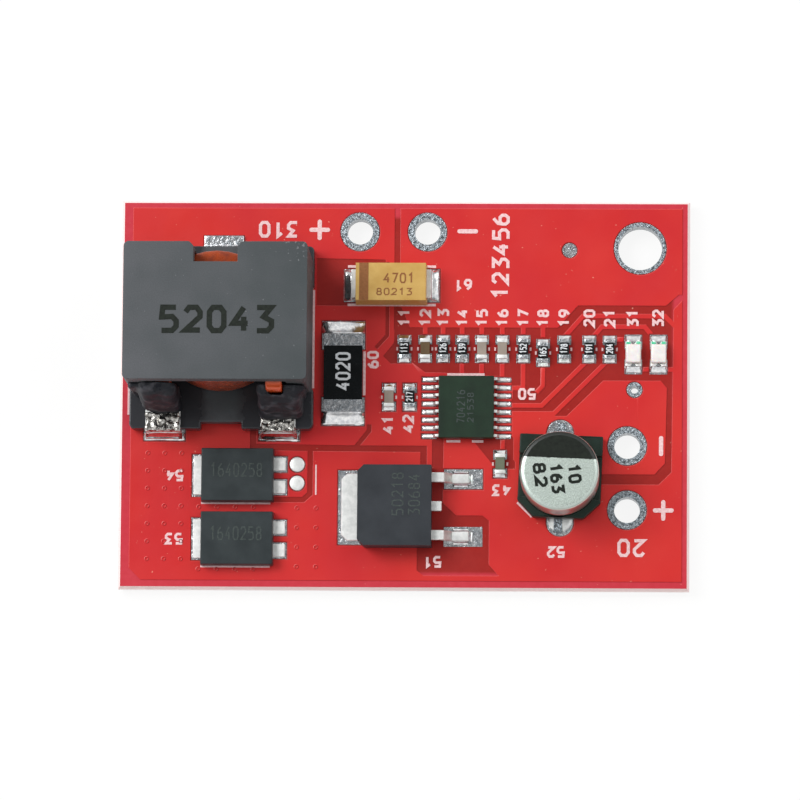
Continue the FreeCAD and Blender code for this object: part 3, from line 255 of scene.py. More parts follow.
# %% [markdown]
# Solder mask is a thin glossy epoxy film. Over copper it is a clear bright red, with a
# faint orange peel from the curing and a few pale specks of dust cured into it. Where the
# copper is etched away the same film lies on the laminate and looks a deep dark red. At
# the bare margin round the board there is no copper on either side, so light comes
# through and the film glows pink. The board's sawn edge shows the pale glass-fibre core.
# One material reads the height and the distance to the margin to choose between them.
# Along the edge of the copper, where the film steps down over it, a fine pale line of painted
# highlight lies on the side towards the light, and a dark line of painted shade on the side away.

# %% Solder mask and laminate
TOWARDS_LIGHT = (-0.65, 0.55, 0)
MARGIN = 1.5 * MM
MARGIN_FADE = 0.3 * MM


def mask_film(add, at, colour):
    peel = add("TexNoise", at, cells(0.9), 2)
    dust = add("TexNoise", at, cells(0.12), 2)
    normal = add("Bump", Height=peel, Distance=0.012 * MM)
    normal = add("Bump", Height=dust, Distance=0.0015 * MM, Normal=normal)
    rough = add("MapRange", add("TexNoise", at, cells(2.5), 3), 0.3, 0.7, 0.28, 0.4)
    rare = add("TexNoise", at, cells(0.3), 2)
    specks = add("MapRange", rare, 0.745, 0.78, 0, 0.5)
    colour = add("Mix", specks, colour, "#F2B49C", **RGBA)
    shader = add("BsdfPrincipled", colour, Roughness=rough, Normal=normal, IOR=1.5,
                 Specular_IOR_Level=0.25)
    add("OutputMaterial", shader)


def masked_copper_material():
    material, add, at = blank_material("red_solder_mask_on_copper")
    patches = add("MapRange", add("TexNoise", at, cells(7.0), 2), 0.35, 0.65)
    colour = add("Mix", patches, "#C8292C", "#D0302C", **RGBA)
    # Painted highlight and painted shade: where the bevelled edge turns towards the light a pale
    # line is mixed in, where it turns away a dark one.
    rounded = add("Bevel", 0.08 * MM, samples=6)
    turned = add("VectorMath", rounded, TOWARDS_LIGHT, operation="DOT_PRODUCT")
    painted_highlight_line = add("MapRange", turned, 0.08, 0.4, 0, 0.75)
    painted_shade_line = add("MapRange", turned, -0.4, -0.08, 0.6, 0)
    colour = add("Mix", painted_highlight_line, colour, "#F0807E", **RGBA)
    colour = add("Mix", painted_shade_line, colour, "#8E1618", **RGBA)
    mask_film(add, at, colour)
    return material


def laminate_material():
    material, add, at = blank_material("red_solder_mask_on_laminate")
    inset = []
    for axis, reach in (("X", board_half.x), ("Y", board_half.y)):
        away = add("Math", add("SeparateXYZ", at, result=axis), operation="ABSOLUTE")
        inset.append(add("MapRange", away, reach - MARGIN, reach - MARGIN + MARGIN_FADE))
    margin = add("Math", *inset, operation="MAXIMUM")
    weave = add("TexNoise", at, cells(0.5), 2)
    inner = add("Mix", weave, "#961D1A", "#A2241E", **RGBA)
    outer = add("Mix", weave, "#C02E3A", "#CC3C4A", **RGBA)
    film = add("Mix", margin, inner, outer, **RGBA)
    fibres = add("TexNoise", at, cells(0.16), 4)
    core = add("Mix", fibres, "#FFE6E2", "#FFFAF8", **RGBA)
    facing = add("SeparateXYZ", add("TexCoord", result="Normal"), result="Z")
    level = add("Math", facing, operation="ABSOLUTE")
    edge = add("MapRange", level, 0.35, 0.45, 1, 0)
    mask_film(add, at, add("Mix", edge, film, core, **RGBA))
    return material


board_low, board_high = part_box("board")
board_half = (board_high - board_low) / 2
masked_copper = masked_copper_material()
laminate = laminate_material()
print("board", [round(2 * side / MM, 1) for side in board_half])

# %% [markdown]
# The legend is a screen-printed white ink, thick and matt, a little uneven where the
# mesh left it. The marks on the parts are stamped or burnt: black ink with a broken
# edge on the core, brown print on the tantalum case, and a laser mark on the dark
# packages that is only a lighter, rougher grey of the same plastic.

# %% Inks and marks
def ink_material(name, light, dark, cell_mm, rough=0.6, depth_mm=0.006):
    material, add, at = blank_material(name)
    grain = add("TexNoise", at, cells(cell_mm), 4, 0.6)
    worn = add("MapRange", grain, 0.35, 0.65)
    colour = add("Mix", worn, light, dark, **RGBA)
    rough = add("MapRange", grain, 0.3, 0.7, rough - 0.08, rough + 0.08)
    normal = add("Bump", Height=grain, Distance=depth_mm * MM)
    shader = add("BsdfPrincipled", colour, Roughness=rough, Normal=normal, IOR=1.5,
                 Specular_IOR_Level=0.25)
    add("OutputMaterial", shader)
    return material


white_print = ink_material("screen_printed_white_legend", "#F2D2D2", "#E0B4B6", 0.18)
resistor_print = ink_material("white_print_on_glaze", "#F0F2F4", "#C4CACE", 0.08)
black_ink = ink_material("stamped_black_ink", "#0B110B", "#171F17", 0.25, 0.5)
brown_ink = ink_material("brown_case_print", "#865630", "#97633A", 0.15)
grey_mark = ink_material("laser_burnt_grey_mark", "#49524F", "#333B3A", 0.1)
print("five inks")

# %% [markdown]
# Tinned copper comes out of the hot-air leveller as a bright, lumpy skin. What the eye
# sees is not its colour but the room in it, broken up by the lumps, so the bump does
# most of the work: a cell near a quarter of a millimetre on pads, finer on rings.
# Pressed terminals carry a smoother matt tin plate, and melted solder is the
# brightest of all.

# %% Tin and solder
def tin_material(name, light, dark, rough, lump_mm, depth_mm, fine_depth_mm=0.002):
    material, add, at = blank_material(name)
    lumps = add("TexNoise", at, cells(lump_mm), 3, 0.6)
    fine = add("TexNoise", at, cells(lump_mm / 5), 3)
    dull = add("MapRange", lumps, 0.35, 0.65)
    colour = add("Mix", dull, light, dark, **RGBA)
    normal = add("Bump", Height=lumps, Distance=depth_mm * MM)
    normal = add("Bump", Height=fine, Distance=fine_depth_mm * MM, Normal=normal)
    rough = add("MapRange", fine, 0.3, 0.7, rough - 0.06, rough + 0.08)
    shader = add("BsdfPrincipled", colour, Roughness=rough, Normal=normal, Metallic=1)
    add("OutputMaterial", shader)
    return material


levelled_tin = tin_material("hot_air_levelled_tin", "#E6E8EA", "#AEB6BC", 0.22, 0.3, 0.05, 0.006)
ring_tin = tin_material("levelled_tin_on_ring", "#A0A8AE", "#464C50", 0.2, 0.2, 0.1, 0.014)
tin_plate = tin_material("matt_tin_plate", "#EAEBE9", "#D6D8D6", 0.5, 0.4, 0.006)
solder = tin_material("melted_solder", "#F2F2F0", "#CDCFD2", 0.16, 0.35, 0.02)
smoked_solder = tin_material("solder_browned_by_flux", "#DAD8D2", "#4E4A46", 0.2, 0.3, 0.05, 0.01)
print("five tin finishes")

# %% [markdown]
# The inductor's core is fired ferrite: a dark warm-grey ceramic, ground flat, matt, with
# fine pits, and with pale nicks near one worn corner. On the lower half, thin smears of
# the glue darken it on both sides of each front terminal.

# %% Ferrite
def glue_smear(add, at):
    """A share that is 1 on the base within a ragged distance of either front terminal."""
    left, right = (sum(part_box("inductor_terminal_" + side), Vector()).x / 2
                   for side in ("left", "right"))
    aside = add("SeparateXYZ", at, result="X")
    for shift in ((left + right) / 2, (right - left) / 2):
        moved = add("Math", aside, shift, operation="SUBTRACT")
        aside = add("Math", moved, operation="ABSOLUTE")
    ragged = add("MapRange", add("TexNoise", at, cells(1.2), 3), 0.3, 0.7, -0.5 * MM, 0.5 * MM)
    reach = add("Math", aside, ragged, operation="ADD")
    return add("MapRange", reach, 2.7 * MM, 3.9 * MM, 1, 0)


def ferrite_material(name, smeared=False):
    material, add, at = blank_material(name)
    core_low, core_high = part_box("inductor_upper_core")
    # Painted shade: the body's grey darkens from the core's left side to its right side, away
    # from the light, mixed into broad random patches.
    across = add("SeparateXYZ", at, result="X")
    painted_shade_rightward = add("MapRange", across, core_low.x, core_high.x, -0.25, 0.25)
    patches_and_painted_shade = add("Math", add("TexNoise", at, cells(5.0), 3), painted_shade_rightward, operation="ADD")
    broad = add("MapRange", patches_and_painted_shade, 0.2, 0.8)
    grain = add("TexNoise", at, cells(0.1), 4, 0.65)
    worn = add("VectorMath", at, core_high, operation="DISTANCE")
    nicked = add("MapRange", worn, 0.5 * MM, 2.6 * MM, 0.16, 0)
    flecks = add("Math", add("TexNoise", at, cells(0.24), 2), nicked, operation="ADD")
    pits = add("MapRange", flecks, 0.72, 0.8)
    body = add("Mix", broad, "#57595D", "#3C4345", **RGBA)
    pores = add("MapRange", grain, 0.3, 0.7, 0, 0.35)
    grey = add("Mix", pores, body, "#33373A", **RGBA)
    pale = add("MapRange", pits, 0, 1, 0, 0.5)
    colour = add("Mix", pale, grey, "#8D8F92", **RGBA)
    normal = add("Bump", Height=pits, Distance=0.015 * MM)
    normal = add("Bump", Height=grain, Distance=0.006 * MM, Normal=normal)
    rough = add("MapRange", grain, 0.3, 0.7, 0.5, 0.66)
    if smeared:
        smear = glue_smear(add, at)
        colour = add("Mix", smear, colour, "#2F3034", **RGBA)
        rough = add("MapRange", smear, 0, 1, 0.58, 0.25)
    shader = add("BsdfPrincipled", colour, Roughness=rough, Normal=normal, IOR=1.6,
                 Specular_IOR_Level=0.3)
    add("OutputMaterial", shader)
    return material


ferrite = ferrite_material("ground_ferrite")
smeared_ferrite = ferrite_material("ferrite_smeared_with_glue", True)
print("two ferrites")

# %% [markdown]
# The coil is copper wire under a clear brown-orange enamel, glossy over a metal. Where
# the wire is drawn out to its terminal its colour is painted brighter, a painted highlight.
# The glue that holds the coil's ends is black epoxy, poured wet: smooth, with a wet shine
# where it faces up, and soft pale patches of painted highlight in places.

# %% Enamelled copper and epoxy
def enamel_material():
    material, add, at = blank_material("orange_enamelled_copper")
    streaks = add("Mapping", at, Scale=(1, 1, 6))
    drawn = add("TexNoise", streaks, cells(0.7), 3)
    streaky = add("MapRange", drawn, 0.3, 0.7)
    colour = add("Mix", streaky, "#B84812", "#7A2A0E", **RGBA)
    # Painted highlight: the wire in front of the core, where it runs out to its terminal, is made
    # a brighter orange.
    forward = add("SeparateXYZ", at, result="Y")
    painted_highlight_on_wire_end = add("MapRange", forward, -0.3 * MM, -0.1 * MM, 1, 0)
    colour = add("Mix", painted_highlight_on_wire_end, colour, "#CC4A0C", **RGBA)
    rough = add("MapRange", drawn, 0.3, 0.7, 0.24, 0.36)
    normal = add("Bump", Height=drawn, Distance=0.008 * MM)
    shader = add("BsdfPrincipled", colour, Roughness=rough, Normal=normal,
                 Metallic=0.35, Coat_Weight=0.4, Coat_Roughness=0.1)
    add("OutputMaterial", shader)
    return material


def epoxy_material():
    material, add, at = blank_material("poured_black_epoxy")
    ripples = add("TexNoise", at, cells(0.6), 3)
    facing = add("SeparateXYZ", add("TexCoord", result="Normal"), result="Z")
    upward = add("MapRange", facing, 0.45, 0.65)
    wet = add("MapRange", add("TexNoise", at, cells(0.5), 2), 0.5, 0.6)
    shine = add("Math", wet, upward, operation="MULTIPLY")
    colour = add("Mix", ripples, "#1C1E23", "#2A2C32", **RGBA)
    # Painted highlight: soft pale grey patches mixed into the glue's black colour.
    painted_highlight_patches = add("MapRange", add("TexNoise", at, cells(0.9), 2), 0.52, 0.76, 0, 0.4)
    colour = add("Mix", painted_highlight_patches, colour, "#77767D", **RGBA)
    rough = add("MapRange", shine, 0, 1, 0.6, 0.1)
    normal = add("Bump", Height=ripples, Distance=0.03 * MM)
    shader = add("BsdfPrincipled", colour, Roughness=rough, Normal=normal, IOR=1.5,
                 Specular_IOR_Level=0.2)
    add("OutputMaterial", shader)
    return material


enamel = enamel_material()
epoxy = epoxy_material()
print("coil and glue finishes")

# %% [markdown]
# The packages are transfer-moulded epoxy, filled with silica, and their moulds were
# spark eroded, which leaves an even matt grain of about a tenth of a millimetre. The
# colours differ from maker to maker, so one function gives a green-black, a slate and
# a grey-green. The tantalum case is the same process in mustard yellow.

# %% Moulded packages
def moulding_material(name, light, dark, rough, grain_mm=0.1, depth_mm=0.008):
    material, add, at = blank_material(name)
    grain = add("TexNoise", at, cells(grain_mm), 3, 0.6)
    broad = add("MapRange", add("TexNoise", at, cells(1.6), 2), 0.3, 0.7)
    flow = add("Mix", broad, light, dark, **RGBA)
    hollows = add("MapRange", grain, 0.35, 0.75, 0, 0.4)
    colour = add("Mix", hollows, flow, dark, **RGBA)
    rough = add("MapRange", grain, 0.3, 0.7, rough - 0.08, rough + 0.08)
    normal = add("Bump", Height=grain, Distance=depth_mm * MM)
    shader = add("BsdfPrincipled", colour, Roughness=rough, Normal=normal, IOR=1.52,
                 Specular_IOR_Level=0.25)
    add("OutputMaterial", shader)
    return material


controller_moulding = moulding_material("green_black_moulding", "#203626", "#16261B", 0.42)
transistor_moulding = moulding_material("slate_moulding", "#33373C", "#282C31", 0.48)
diode_moulding = moulding_material("grey_green_moulding", "#353C3E", "#272E30", 0.4)
base_moulding = moulding_material("dark_green_moulded_base", "#1D2D26", "#142019", 0.38)
mustard_moulding = moulding_material("mustard_moulded_case", "#D2AE66", "#C09850", 0.4, 0.2)
light_body = moulding_material("white_light_body", "#F1F0E6", "#DAD9CE", 0.45, 0.15)
print("six mouldings")

# %% [markdown]
# Chip resistors are printed on white alumina, with a black glass glaze on top. Chip
# capacitors are solid fired ceramic, brown, grey or green by their mixture, faintly
# speckled, and duller than glaze.

# %% Glaze and ceramics
black_glaze = moulding_material("black_glass_glaze", "#15191B", "#0C0F10", 0.2, 0.25, 0.01)
brown_ceramic = moulding_material("brown_fired_ceramic", "#6F5A3E", "#58472F", 0.5)
grey_ceramic = moulding_material("grey_fired_ceramic", "#A89A8E", "#8F8479", 0.5)
green_ceramic = moulding_material("green_fired_ceramic", "#727864", "#5B6251", 0.5)
print("glaze and three ceramics")

# %% [markdown]
# The capacitor's can is drawn aluminium with a satin grain on top, with less grain over the rim
# and down the wall: smoother metal there, and a lighter colour that is partly a painted
# highlight.
# Its black print runs on over the rim, so the same material turns black there, by the
# distance behind the can's middle in a slightly turned frame. The lights' domes are cast
# clear resin over white, so they look milky, with a pale green dot that marks the cathode
# end. Light goes a little way in and comes back, which is subsurface scattering, at the scale of
# the dome.

# %% Aluminium can and light domes
can_low, can_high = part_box("electrolytic_can")
PRINT_TURN = math.radians(-2.2)
PRINT_EDGE = 1.0 * MM
PRINT_BLUR = 0.02 * MM


def aluminium_material():
    material, add, at = blank_material("satin_drawn_aluminium")
    centre = (can_low + can_high) / 2
    centre.z = can_high.z
    turned = add("Mapping", at, centre, (0, 0, PRINT_TURN), vector_type="TEXTURE")
    ragged = add("MapRange", add("TexNoise", at, cells(0.15), 2), 0.3, 0.7, -0.05 * MM, 0.05 * MM)
    behind = add("Math", add("SeparateXYZ", turned, result="Y"), ragged, operation="ADD")
    inked = add("MapRange", behind, PRINT_EDGE - PRINT_BLUR, PRINT_EDGE + PRINT_BLUR)
    height = add("SeparateXYZ", turned, result="Z")
    above = add("MapRange", height, -0.24 * MM, -0.2 * MM)
    printed = add("Math", inked, above, operation="MULTIPLY")
    # The rim and wall get less grain: smoother metal, and partly a painted highlight, since less
    # grain makes their colour lighter.
    smoother_rim_and_painted_highlight = add("MapRange", height, -0.12 * MM, -0.02 * MM, 0.6, 1)
    satin = add("Math", add("TexNoise", at, cells(0.09), 4, 0.7), smoother_rim_and_painted_highlight, operation="MULTIPLY")
    shade = add("MapRange", satin, 0.35, 0.7)
    metal = add("Mix", shade, "#CEDAD2", "#8E9A92", **RGBA)
    colour = add("Mix", printed, metal, "#151C17", **RGBA)
    rough = add("MapRange", satin, 0.2, 0.7, 0.3, 0.46)
    normal = add("Bump", Height=satin, Distance=0.02 * MM)
    bare = add("Math", 1, printed, operation="SUBTRACT")
    shader = add("BsdfPrincipled", colour, Roughness=rough, Normal=normal, Metallic=bare)
    add("OutputMaterial", shader)
    return material


def dome_material():
    material, add, at = blank_material("milky_cast_resin")
    milk = add("TexNoise", at, cells(0.5), 2)
    clouded = add("MapRange", milk, 0.3, 0.7)
    colour = add("Mix", clouded, "#F4EFEA", "#E6DCDC", **RGBA)
    rough = add("MapRange", milk, 0.3, 0.7, 0.14, 0.24)
    normal = add("Bump", Height=milk, Distance=0.01 * MM)
    shader = add("BsdfPrincipled", colour, Roughness=rough, Normal=normal, IOR=1.53,
                 Subsurface_Weight=0.3, Subsurface_Scale=0.5 * MM)
    add("OutputMaterial", shader)
    return material


aluminium = aluminium_material()
milky_resin = dome_material()
cathode_green = ink_material("green_cathode_dot", "#35C08E", "#7FD2AE", 0.25, 0.4)
print("can and dome finishes")

# %% [markdown]
# The board, its copper and all the print are flat sheets whose model is already right,
# so they only take their finish. The board, the print and the plated rings stay as they
# came. The copper's edge is rounded, where the film steps down over it. The leveller
# leaves the tin thick in the middle of a pad and thin at its rim, so the rims of the
# pads are rounded too.

# %% Board, copper, print and pads
DRESSED = {"board": laminate, "silkscreen_top": white_print, "marks_white": resistor_print,
           "marks_black": black_ink, "marks_brown": brown_ink, "marks_grey": grey_mark,
           "battery_plus_eyelet": ring_tin, "battery_minus_eyelet": ring_tin,
           "input_minus_eyelet": ring_tin, "input_plus_eyelet": ring_tin,
           "mounting_hole_plating": ring_tin, "small_via_plating": ring_tin}
for name, material in DRESSED.items():
    target = nodes[name]
    if not target.material_slots:
        target.data.materials.append(material)
    for slot in target.material_slots:
        slot.material = material
print(len(DRESSED), "parts dressed as they came")
softened("masked_copper_top", "masked_copper", 0.045, masked_copper)
softened("tinned_pads_top", "tinned_pads", 0.02, levelled_tin, 1)

# %% [markdown]
# The inductor is two ferrite halves: a flat base, and an upper half like a bridge with
# a round post inside. Pressed ferrite has crisp edges with a tiny radius, where the
# green part was brushed before firing.

# %% Ferrite cores
softened("inductor_lower_core", "lower_core", 0.12, smeared_ferrite)
softened("inductor_upper_core", "upper_core", 0.14, ferrite)

# %% [markdown]
# The coil is one thick flat wire wound on edge round the post, seven and a half turns
# from the left terminal up to the right one. It could be a stack of rings, but then no
# turn would climb. Instead a plane of the wire's section is swept by the Screw
# modifier, which turns and lifts it together, and the open ends are filled.

# %% Coil
coil_low, coil_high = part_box("inductor_coil")
WIRE_WIDTH = 1.3 * MM
WIRE_THICKNESS = 0.8 * MM
TURNS = 7.5
SWEEP_STEPS = 270
coil_outer = (coil_high.x - coil_low.x) / 2
wire_radius = coil_outer - WIRE_WIDTH / 2
coil_axis = Vector(((coil_low.x + coil_high.x) / 2, coil_high.y - coil_outer, 0))
start_z = coil_low.z + WIRE_THICKNESS / 2
climb = coil_high.z - coil_low.z - WIRE_THICKNESS

coil = new_piece("wound_coil", bpy.ops.mesh.primitive_plane_add, size=1,
                 rotation=(math.pi / 2, 0, 0))
coil.scale = (WIRE_WIDTH, WIRE_THICKNESS, 1)
settle(coil)
editing(coil)
bpy.ops.transform.translate(value=(-wire_radius, 0, 0))
bpy.ops.mesh.delete(type="ONLY_FACE")
done()
apply_modifier(coil, "SCREW", angle=-TURNS * 2 * math.pi, screw_offset=climb, axis="Z",
               steps=SWEEP_STEPS, render_steps=SWEEP_STEPS, use_merge_vertices=False)
editing(coil)
bpy.ops.transform.translate(value=(coil_axis.x, coil_axis.y, start_z))
bpy.ops.mesh.select_all(action="DESELECT")
bpy.ops.mesh.select_mode(type="EDGE")
bpy.ops.mesh.select_non_manifold()
bpy.ops.mesh.fill_holes(sides=0)
bpy.ops.mesh.select_all(action="SELECT")
bpy.ops.mesh.normals_make_consistent(inside=False)
done()
print("coil", len(coil.data.polygons), "faces before its ends are drawn out")

# %% [markdown]
# The left end of the wire is pulled forward to its terminal. The right end is pulled
# forward, bent down in small steps about the bend's centre and drawn straight down.

# %% Coil ends
BEND_RADIUS = 0.25 * MM
BEND_STEPS = 6
FRONT_SLACK = 0.15 * MM
FOOT_RISE = 0.4 * MM


def end_face(x, z):
    def near_end(face, at):
        level = abs(face.normal.y) > 0.9
        return level and abs(at.x - x) < 0.2 * MM and abs(at.z - z) < 0.2 * MM
    return near_end


def pull(vector):
    bpy.ops.mesh.extrude_region_move(TRANSFORM_OT_translate={"value": vector})


terminal_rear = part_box("inductor_terminal_left")[1].y
right_x = coil_axis.x + wire_radius
top_z = start_z + climb
editing(coil)
choose("FACE", end_face(coil_axis.x - wire_radius, start_z))
pull((0, terminal_rear - coil_axis.y, 0))
choose("FACE", end_face(right_x, top_z))
bend_start = coil_low.y + BEND_RADIUS + WIRE_THICKNESS + FRONT_SLACK
pull((0, bend_start - coil_axis.y, 0))
bend_centre = Vector((right_x, bend_start, top_z - WIRE_THICKNESS / 2 - BEND_RADIUS))
for step in range(BEND_STEPS):
    pull((0, 0, 0))
    bpy.ops.transform.rotate(value=-math.pi / 2 / BEND_STEPS, orient_axis="X",
                             center_override=bend_centre)
pull((0, 0, coil_low.z + FOOT_RISE - bend_centre.z))
bpy.ops.mesh.select_all(action="SELECT")
bpy.ops.mesh.normals_make_consistent(inside=False)
done()
rounded_edges(coil, 0.16 * MM, 3, 50)
finish_piece(coil, enamel, ["inductor_coil"])

# %% [markdown]
# Glue is poured over each coil end and slumps into a lump against the core, with a
# thin smear along the leg. A copy of the model's wedge is remade by Remesh as one even
# skin, its corners melt away under Smooth, a cloud pattern pushes it about, and
# Subdivision rounds the result, which is quicker to steer than sculpting by hand. Last
# it is stretched a little past the model's box, up and back against the core.

# %% Epoxy lumps
OVERFLOW = Vector((0, 0.1 * MM, 0.3 * MM))


def mesh_box(piece):
    low = Vector([min(v.co[i] for v in piece.data.vertices) for i in range(3)])
    high = Vector([max(v.co[i] for v in piece.data.vertices) for i in range(3)])
    return low, high


def fill_box(piece, low, high):
    small, large = mesh_box(piece)
    editing(piece)
    bpy.ops.transform.resize(value=[(high[i] - low[i]) / (large[i] - small[i]) for i in range(3)],
                             center_override=(small + large) / 2)
    bpy.ops.transform.translate(value=(low + high - small - large) / 2)
    done()


def pushed_about(piece, name, cell_mm, strength_mm):
    texture = bpy.data.textures.new(name, "CLOUDS")
    texture.noise_scale = cell_mm * MM
    texture.noise_depth = 1
    apply_modifier(piece, "DISPLACE", texture=texture, strength=strength_mm * MM, mid_level=0.5,
                   texture_coords="LOCAL")


for side in ("left", "right"):
    piece = loose_copy(["inductor_epoxy_" + side], "epoxy_" + side)
    apply_modifier(piece, "REMESH", mode="VOXEL", voxel_size=0.16 * MM)
    apply_modifier(piece, "SMOOTH", factor=0.5, iterations=5)
    pushed_about(piece, "lumps_" + side, 1.5, 0.55)
    pushed_about(piece, "ripples_" + side, 0.6, 0.08)
    apply_modifier(piece, "SUBSURF", levels=1, render_levels=1)
    low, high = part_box("inductor_epoxy_" + side)
    fill_box(piece, low, high + OVERFLOW)
    finish_piece(piece, epoxy, ["inductor_epoxy_" + side], 180)

# %% [markdown]
# The terminals are strips of tinned sheet bent round the base's edge. Their bends are
# softened more than their cut edges could be, because sheet a quarter of a millimetre
# thick always bends round a radius.

# %% Inductor terminals
for side in ("left", "right", "rear"):
    finish = levelled_tin if side == "rear" else tin_plate
    softened("inductor_terminal_" + side, "terminal_" + side, 0.08, finish, 3)

# %% [markdown]
# The flat packages follow: the tantalum case, the sense resistor, the transistor, the
# two diodes and the controller. A moulded edge has a radius near a tenth of a
# millimetre, and a stamped lead is sharper.

# %% Power packages
softened("tantalum_capacitor_body", "tantalum_case", 0.12, mustard_moulding, 3)
softened("tantalum_capacitor_terminals", "tantalum_terminals", 0.05, tin_plate)
softened("sense_resistor_body", "sense_resistor", 0.05, black_glaze)
softened("sense_resistor_end_caps", "sense_resistor_caps", 0.06, levelled_tin, 3)
softened("transistor_body", "transistor_package", 0.12, transistor_moulding, 3)
softened("transistor_tab", "transistor_plate", 0.06, tin_plate)
softened("transistor_leads", "transistor_lead_pair", 0.06, tin_plate)
for diode in ("diode_1", "diode_2"):
    softened(diode + "_body", diode + "_package", 0.08, diode_moulding, 3)
    softened(diode + "_tab", diode + "_plate", 0.04, tin_plate)
    softened(diode + "_leads", diode + "_lead_pair", 0.04, tin_plate)
softened("controller_body", "controller_package", 0.06, controller_moulding, 3)
softened("controller_leads", "controller_pins", 0.03, tin_plate)

# %% [markdown]
# The electrolytic capacitor's can is drawn from one disc of aluminium, rolled in over
# its rubber seal. A cylinder is cut round by three bisects near its foot, and the middle
# ring is drawn in to make the groove. The top is inset and its rim is pushed down a
# little, then bevelled: that gentle slope is the bright ring round the top.
# The black segment stays a printed piece of the model, and the aluminium's own pattern
# carries its print on over the rim.

# %% Can
can_radius = (can_high.x - can_low.x) / 2
can_centre = (can_low + can_high) / 2
GROOVE_RISE = 0.65 * MM
GROOVE_DEPTH = 0.18 * MM
GROOVE_HALF = 0.25 * MM
RIM_WIDTH = 0.44 * MM
RIM_DROP = 0.16 * MM
NEAR = 0.01 * MM
groove_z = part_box("electrolytic_base")[1].z + GROOVE_RISE
can = new_piece("drawn_can", bpy.ops.mesh.primitive_cylinder_add, vertices=96,
                radius=can_radius, depth=can_high.z - can_low.z, location=can_centre)
settle(can)
editing(can)
for z in (groove_z - GROOVE_HALF, groove_z, groove_z + GROOVE_HALF):
    bpy.ops.mesh.select_all(action="SELECT")
    bpy.ops.mesh.bisect(plane_co=(0, 0, z), plane_no=(0, 0, 1))
choose("VERT", lambda item, at: abs(at.z - groove_z) < NEAR)
draw_in = (can_radius - GROOVE_DEPTH) / can_radius
bpy.ops.transform.resize(value=(draw_in, draw_in, 1), center_override=can_centre)
choose("EDGE", lambda item, at: abs(at.z - groove_z) < NEAR and
       abs(item.verts[0].co.z - item.verts[1].co.z) < NEAR)
bpy.ops.mesh.bevel(offset=0.12 * MM, segments=3)
choose("FACE", lambda item, at: item.normal.z > 0.99 and at.z > can_high.z - NEAR)
bpy.ops.mesh.inset(thickness=RIM_WIDTH)
choose("VERT", lambda item, at: at.z > can_high.z - NEAR and
       (at - can_centre).xy.length > can_radius - RIM_WIDTH / 2)
bpy.ops.transform.translate(value=(0, 0, -RIM_DROP))
choose("EDGE", lambda item, at: abs(at.z - can_high.z + RIM_DROP) < NEAR and
       (at - can_centre).xy.length > can_radius - 2 * NEAR)
bpy.ops.mesh.bevel(offset=0.2 * MM, segments=5)
done()
finish_piece(can, aluminium, ["electrolytic_can"], 50)
apply_modifier(can, "WEIGHTED_NORMAL", keep_sharp=True)
softened("electrolytic_base", "can_base", 0.1, base_moulding, 3)
softened("electrolytic_leads", "can_leads", 0.04, ring_tin)

# %% [markdown]
# The small chips are 1.6 mm long. Their ceramic bodies keep their own colours, and
# their plated ends are rounded, because the paste they are dipped in draws back from
# every edge as it dries.

# %% Chips
resistors = ["resistor_%d_" % number for number in range(1, 10)]
for chip in resistors:
    softened(chip + "body", chip + "chip", 0.03, black_glaze)
CERAMICS = {1: (brown_ceramic, "brown_ceramic"), 5: (green_ceramic, "green_ceramic")}
capacitors = ["ceramic_capacitor_%d_" % number for number in range(1, 6)]
for number, chip in enumerate(capacitors, 1):
    material, slot = CERAMICS.get(number, (grey_ceramic, "grey_ceramic"))
    softened(chip + "body", chip + "chip", 0.04, material)
softened("resistor_end_caps", "resistor_caps", 0.07, levelled_tin, 3)
softened("capacitor_end_caps", "capacitor_caps", 0.06, tin_plate)

# %% [markdown]
# Each status light is a white laminate base, two notched plated ends and a cast dome.
# The dome's edges are rounded by a bevel near a tenth of a millimetre.

# %% Status lights
softened("status_light_substrates", "light_bases", 0.03, light_body)
softened("status_light_terminals", "light_terminals", 0.03, tin_plate)
softened("status_light_lenses", "light_domes", 0.12, milky_resin, 4)

# %% [markdown]
# Solder climbs each chip's end in a hollow curve and thins out over the pad. One
# fillet is shaped from a cube: it is cut into rows, and each row is lowered by a share
# that falls away quickly from the chip. The rows' ends are lowered too, so that the
# fillet is highest in the middle. A board's solder could be sculpted joint by joint, but
# one fillet of each size, copied to its places, each copy with its own mesh, is as good.

# %% One fillet
ROWS = 7
END_SHARES = ((0, 0.45), (1, 0.85))


def fillet(name, width, reach, rise, rim, hollow=2.4):
    """A fillet against the wall y = 0 that reaches to y = -reach, standing on z = 0."""
    piece = new_piece(name, bpy.ops.mesh.primitive_cube_add, size=1,
                      location=(0, -reach / 2, rise / 2))
    piece.scale = (width, reach, rise)
    settle(piece)
    editing(piece)
    bpy.ops.mesh.subdivide(number_cuts=ROWS - 1)
    for row in range(ROWS + 1):
        y = -reach * row / ROWS
        share = (1 - row / ROWS) ** hollow * (1 - rim / rise) + rim / rise
        if row == ROWS:
            share = rim / rise * 0.4
        choose("VERT", lambda item, at: abs(at.y - y) < 0.001 * MM)
        bpy.ops.transform.resize(value=(1, 1, share), center_override=(0, y, 0))
    for column, share in END_SHARES:
        x = width / 2 - width * column / ROWS
        choose("VERT", lambda item, at: abs(abs(at.x) - x) < 0.001 * MM)
        bpy.ops.transform.resize(value=(1, 1, share), center_override=(0, 0, 0))
    done()
    return piece


def set_out(piece, places):
    copies = [own_copy(piece, at, turn) for at, turn in places]
    print(len(copies), piece.name)
    bpy.data.objects.remove(piece)
    return copies


def both_ends(at, half_length):
    return [((at.x, at.y - half_length, pad_top), 0),
            ((at.x, at.y + half_length, pad_top), math.pi)]


pad_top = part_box("masked_copper_top")[1].z
print("pads stand at", round(pad_top / MM, 2), "mm")

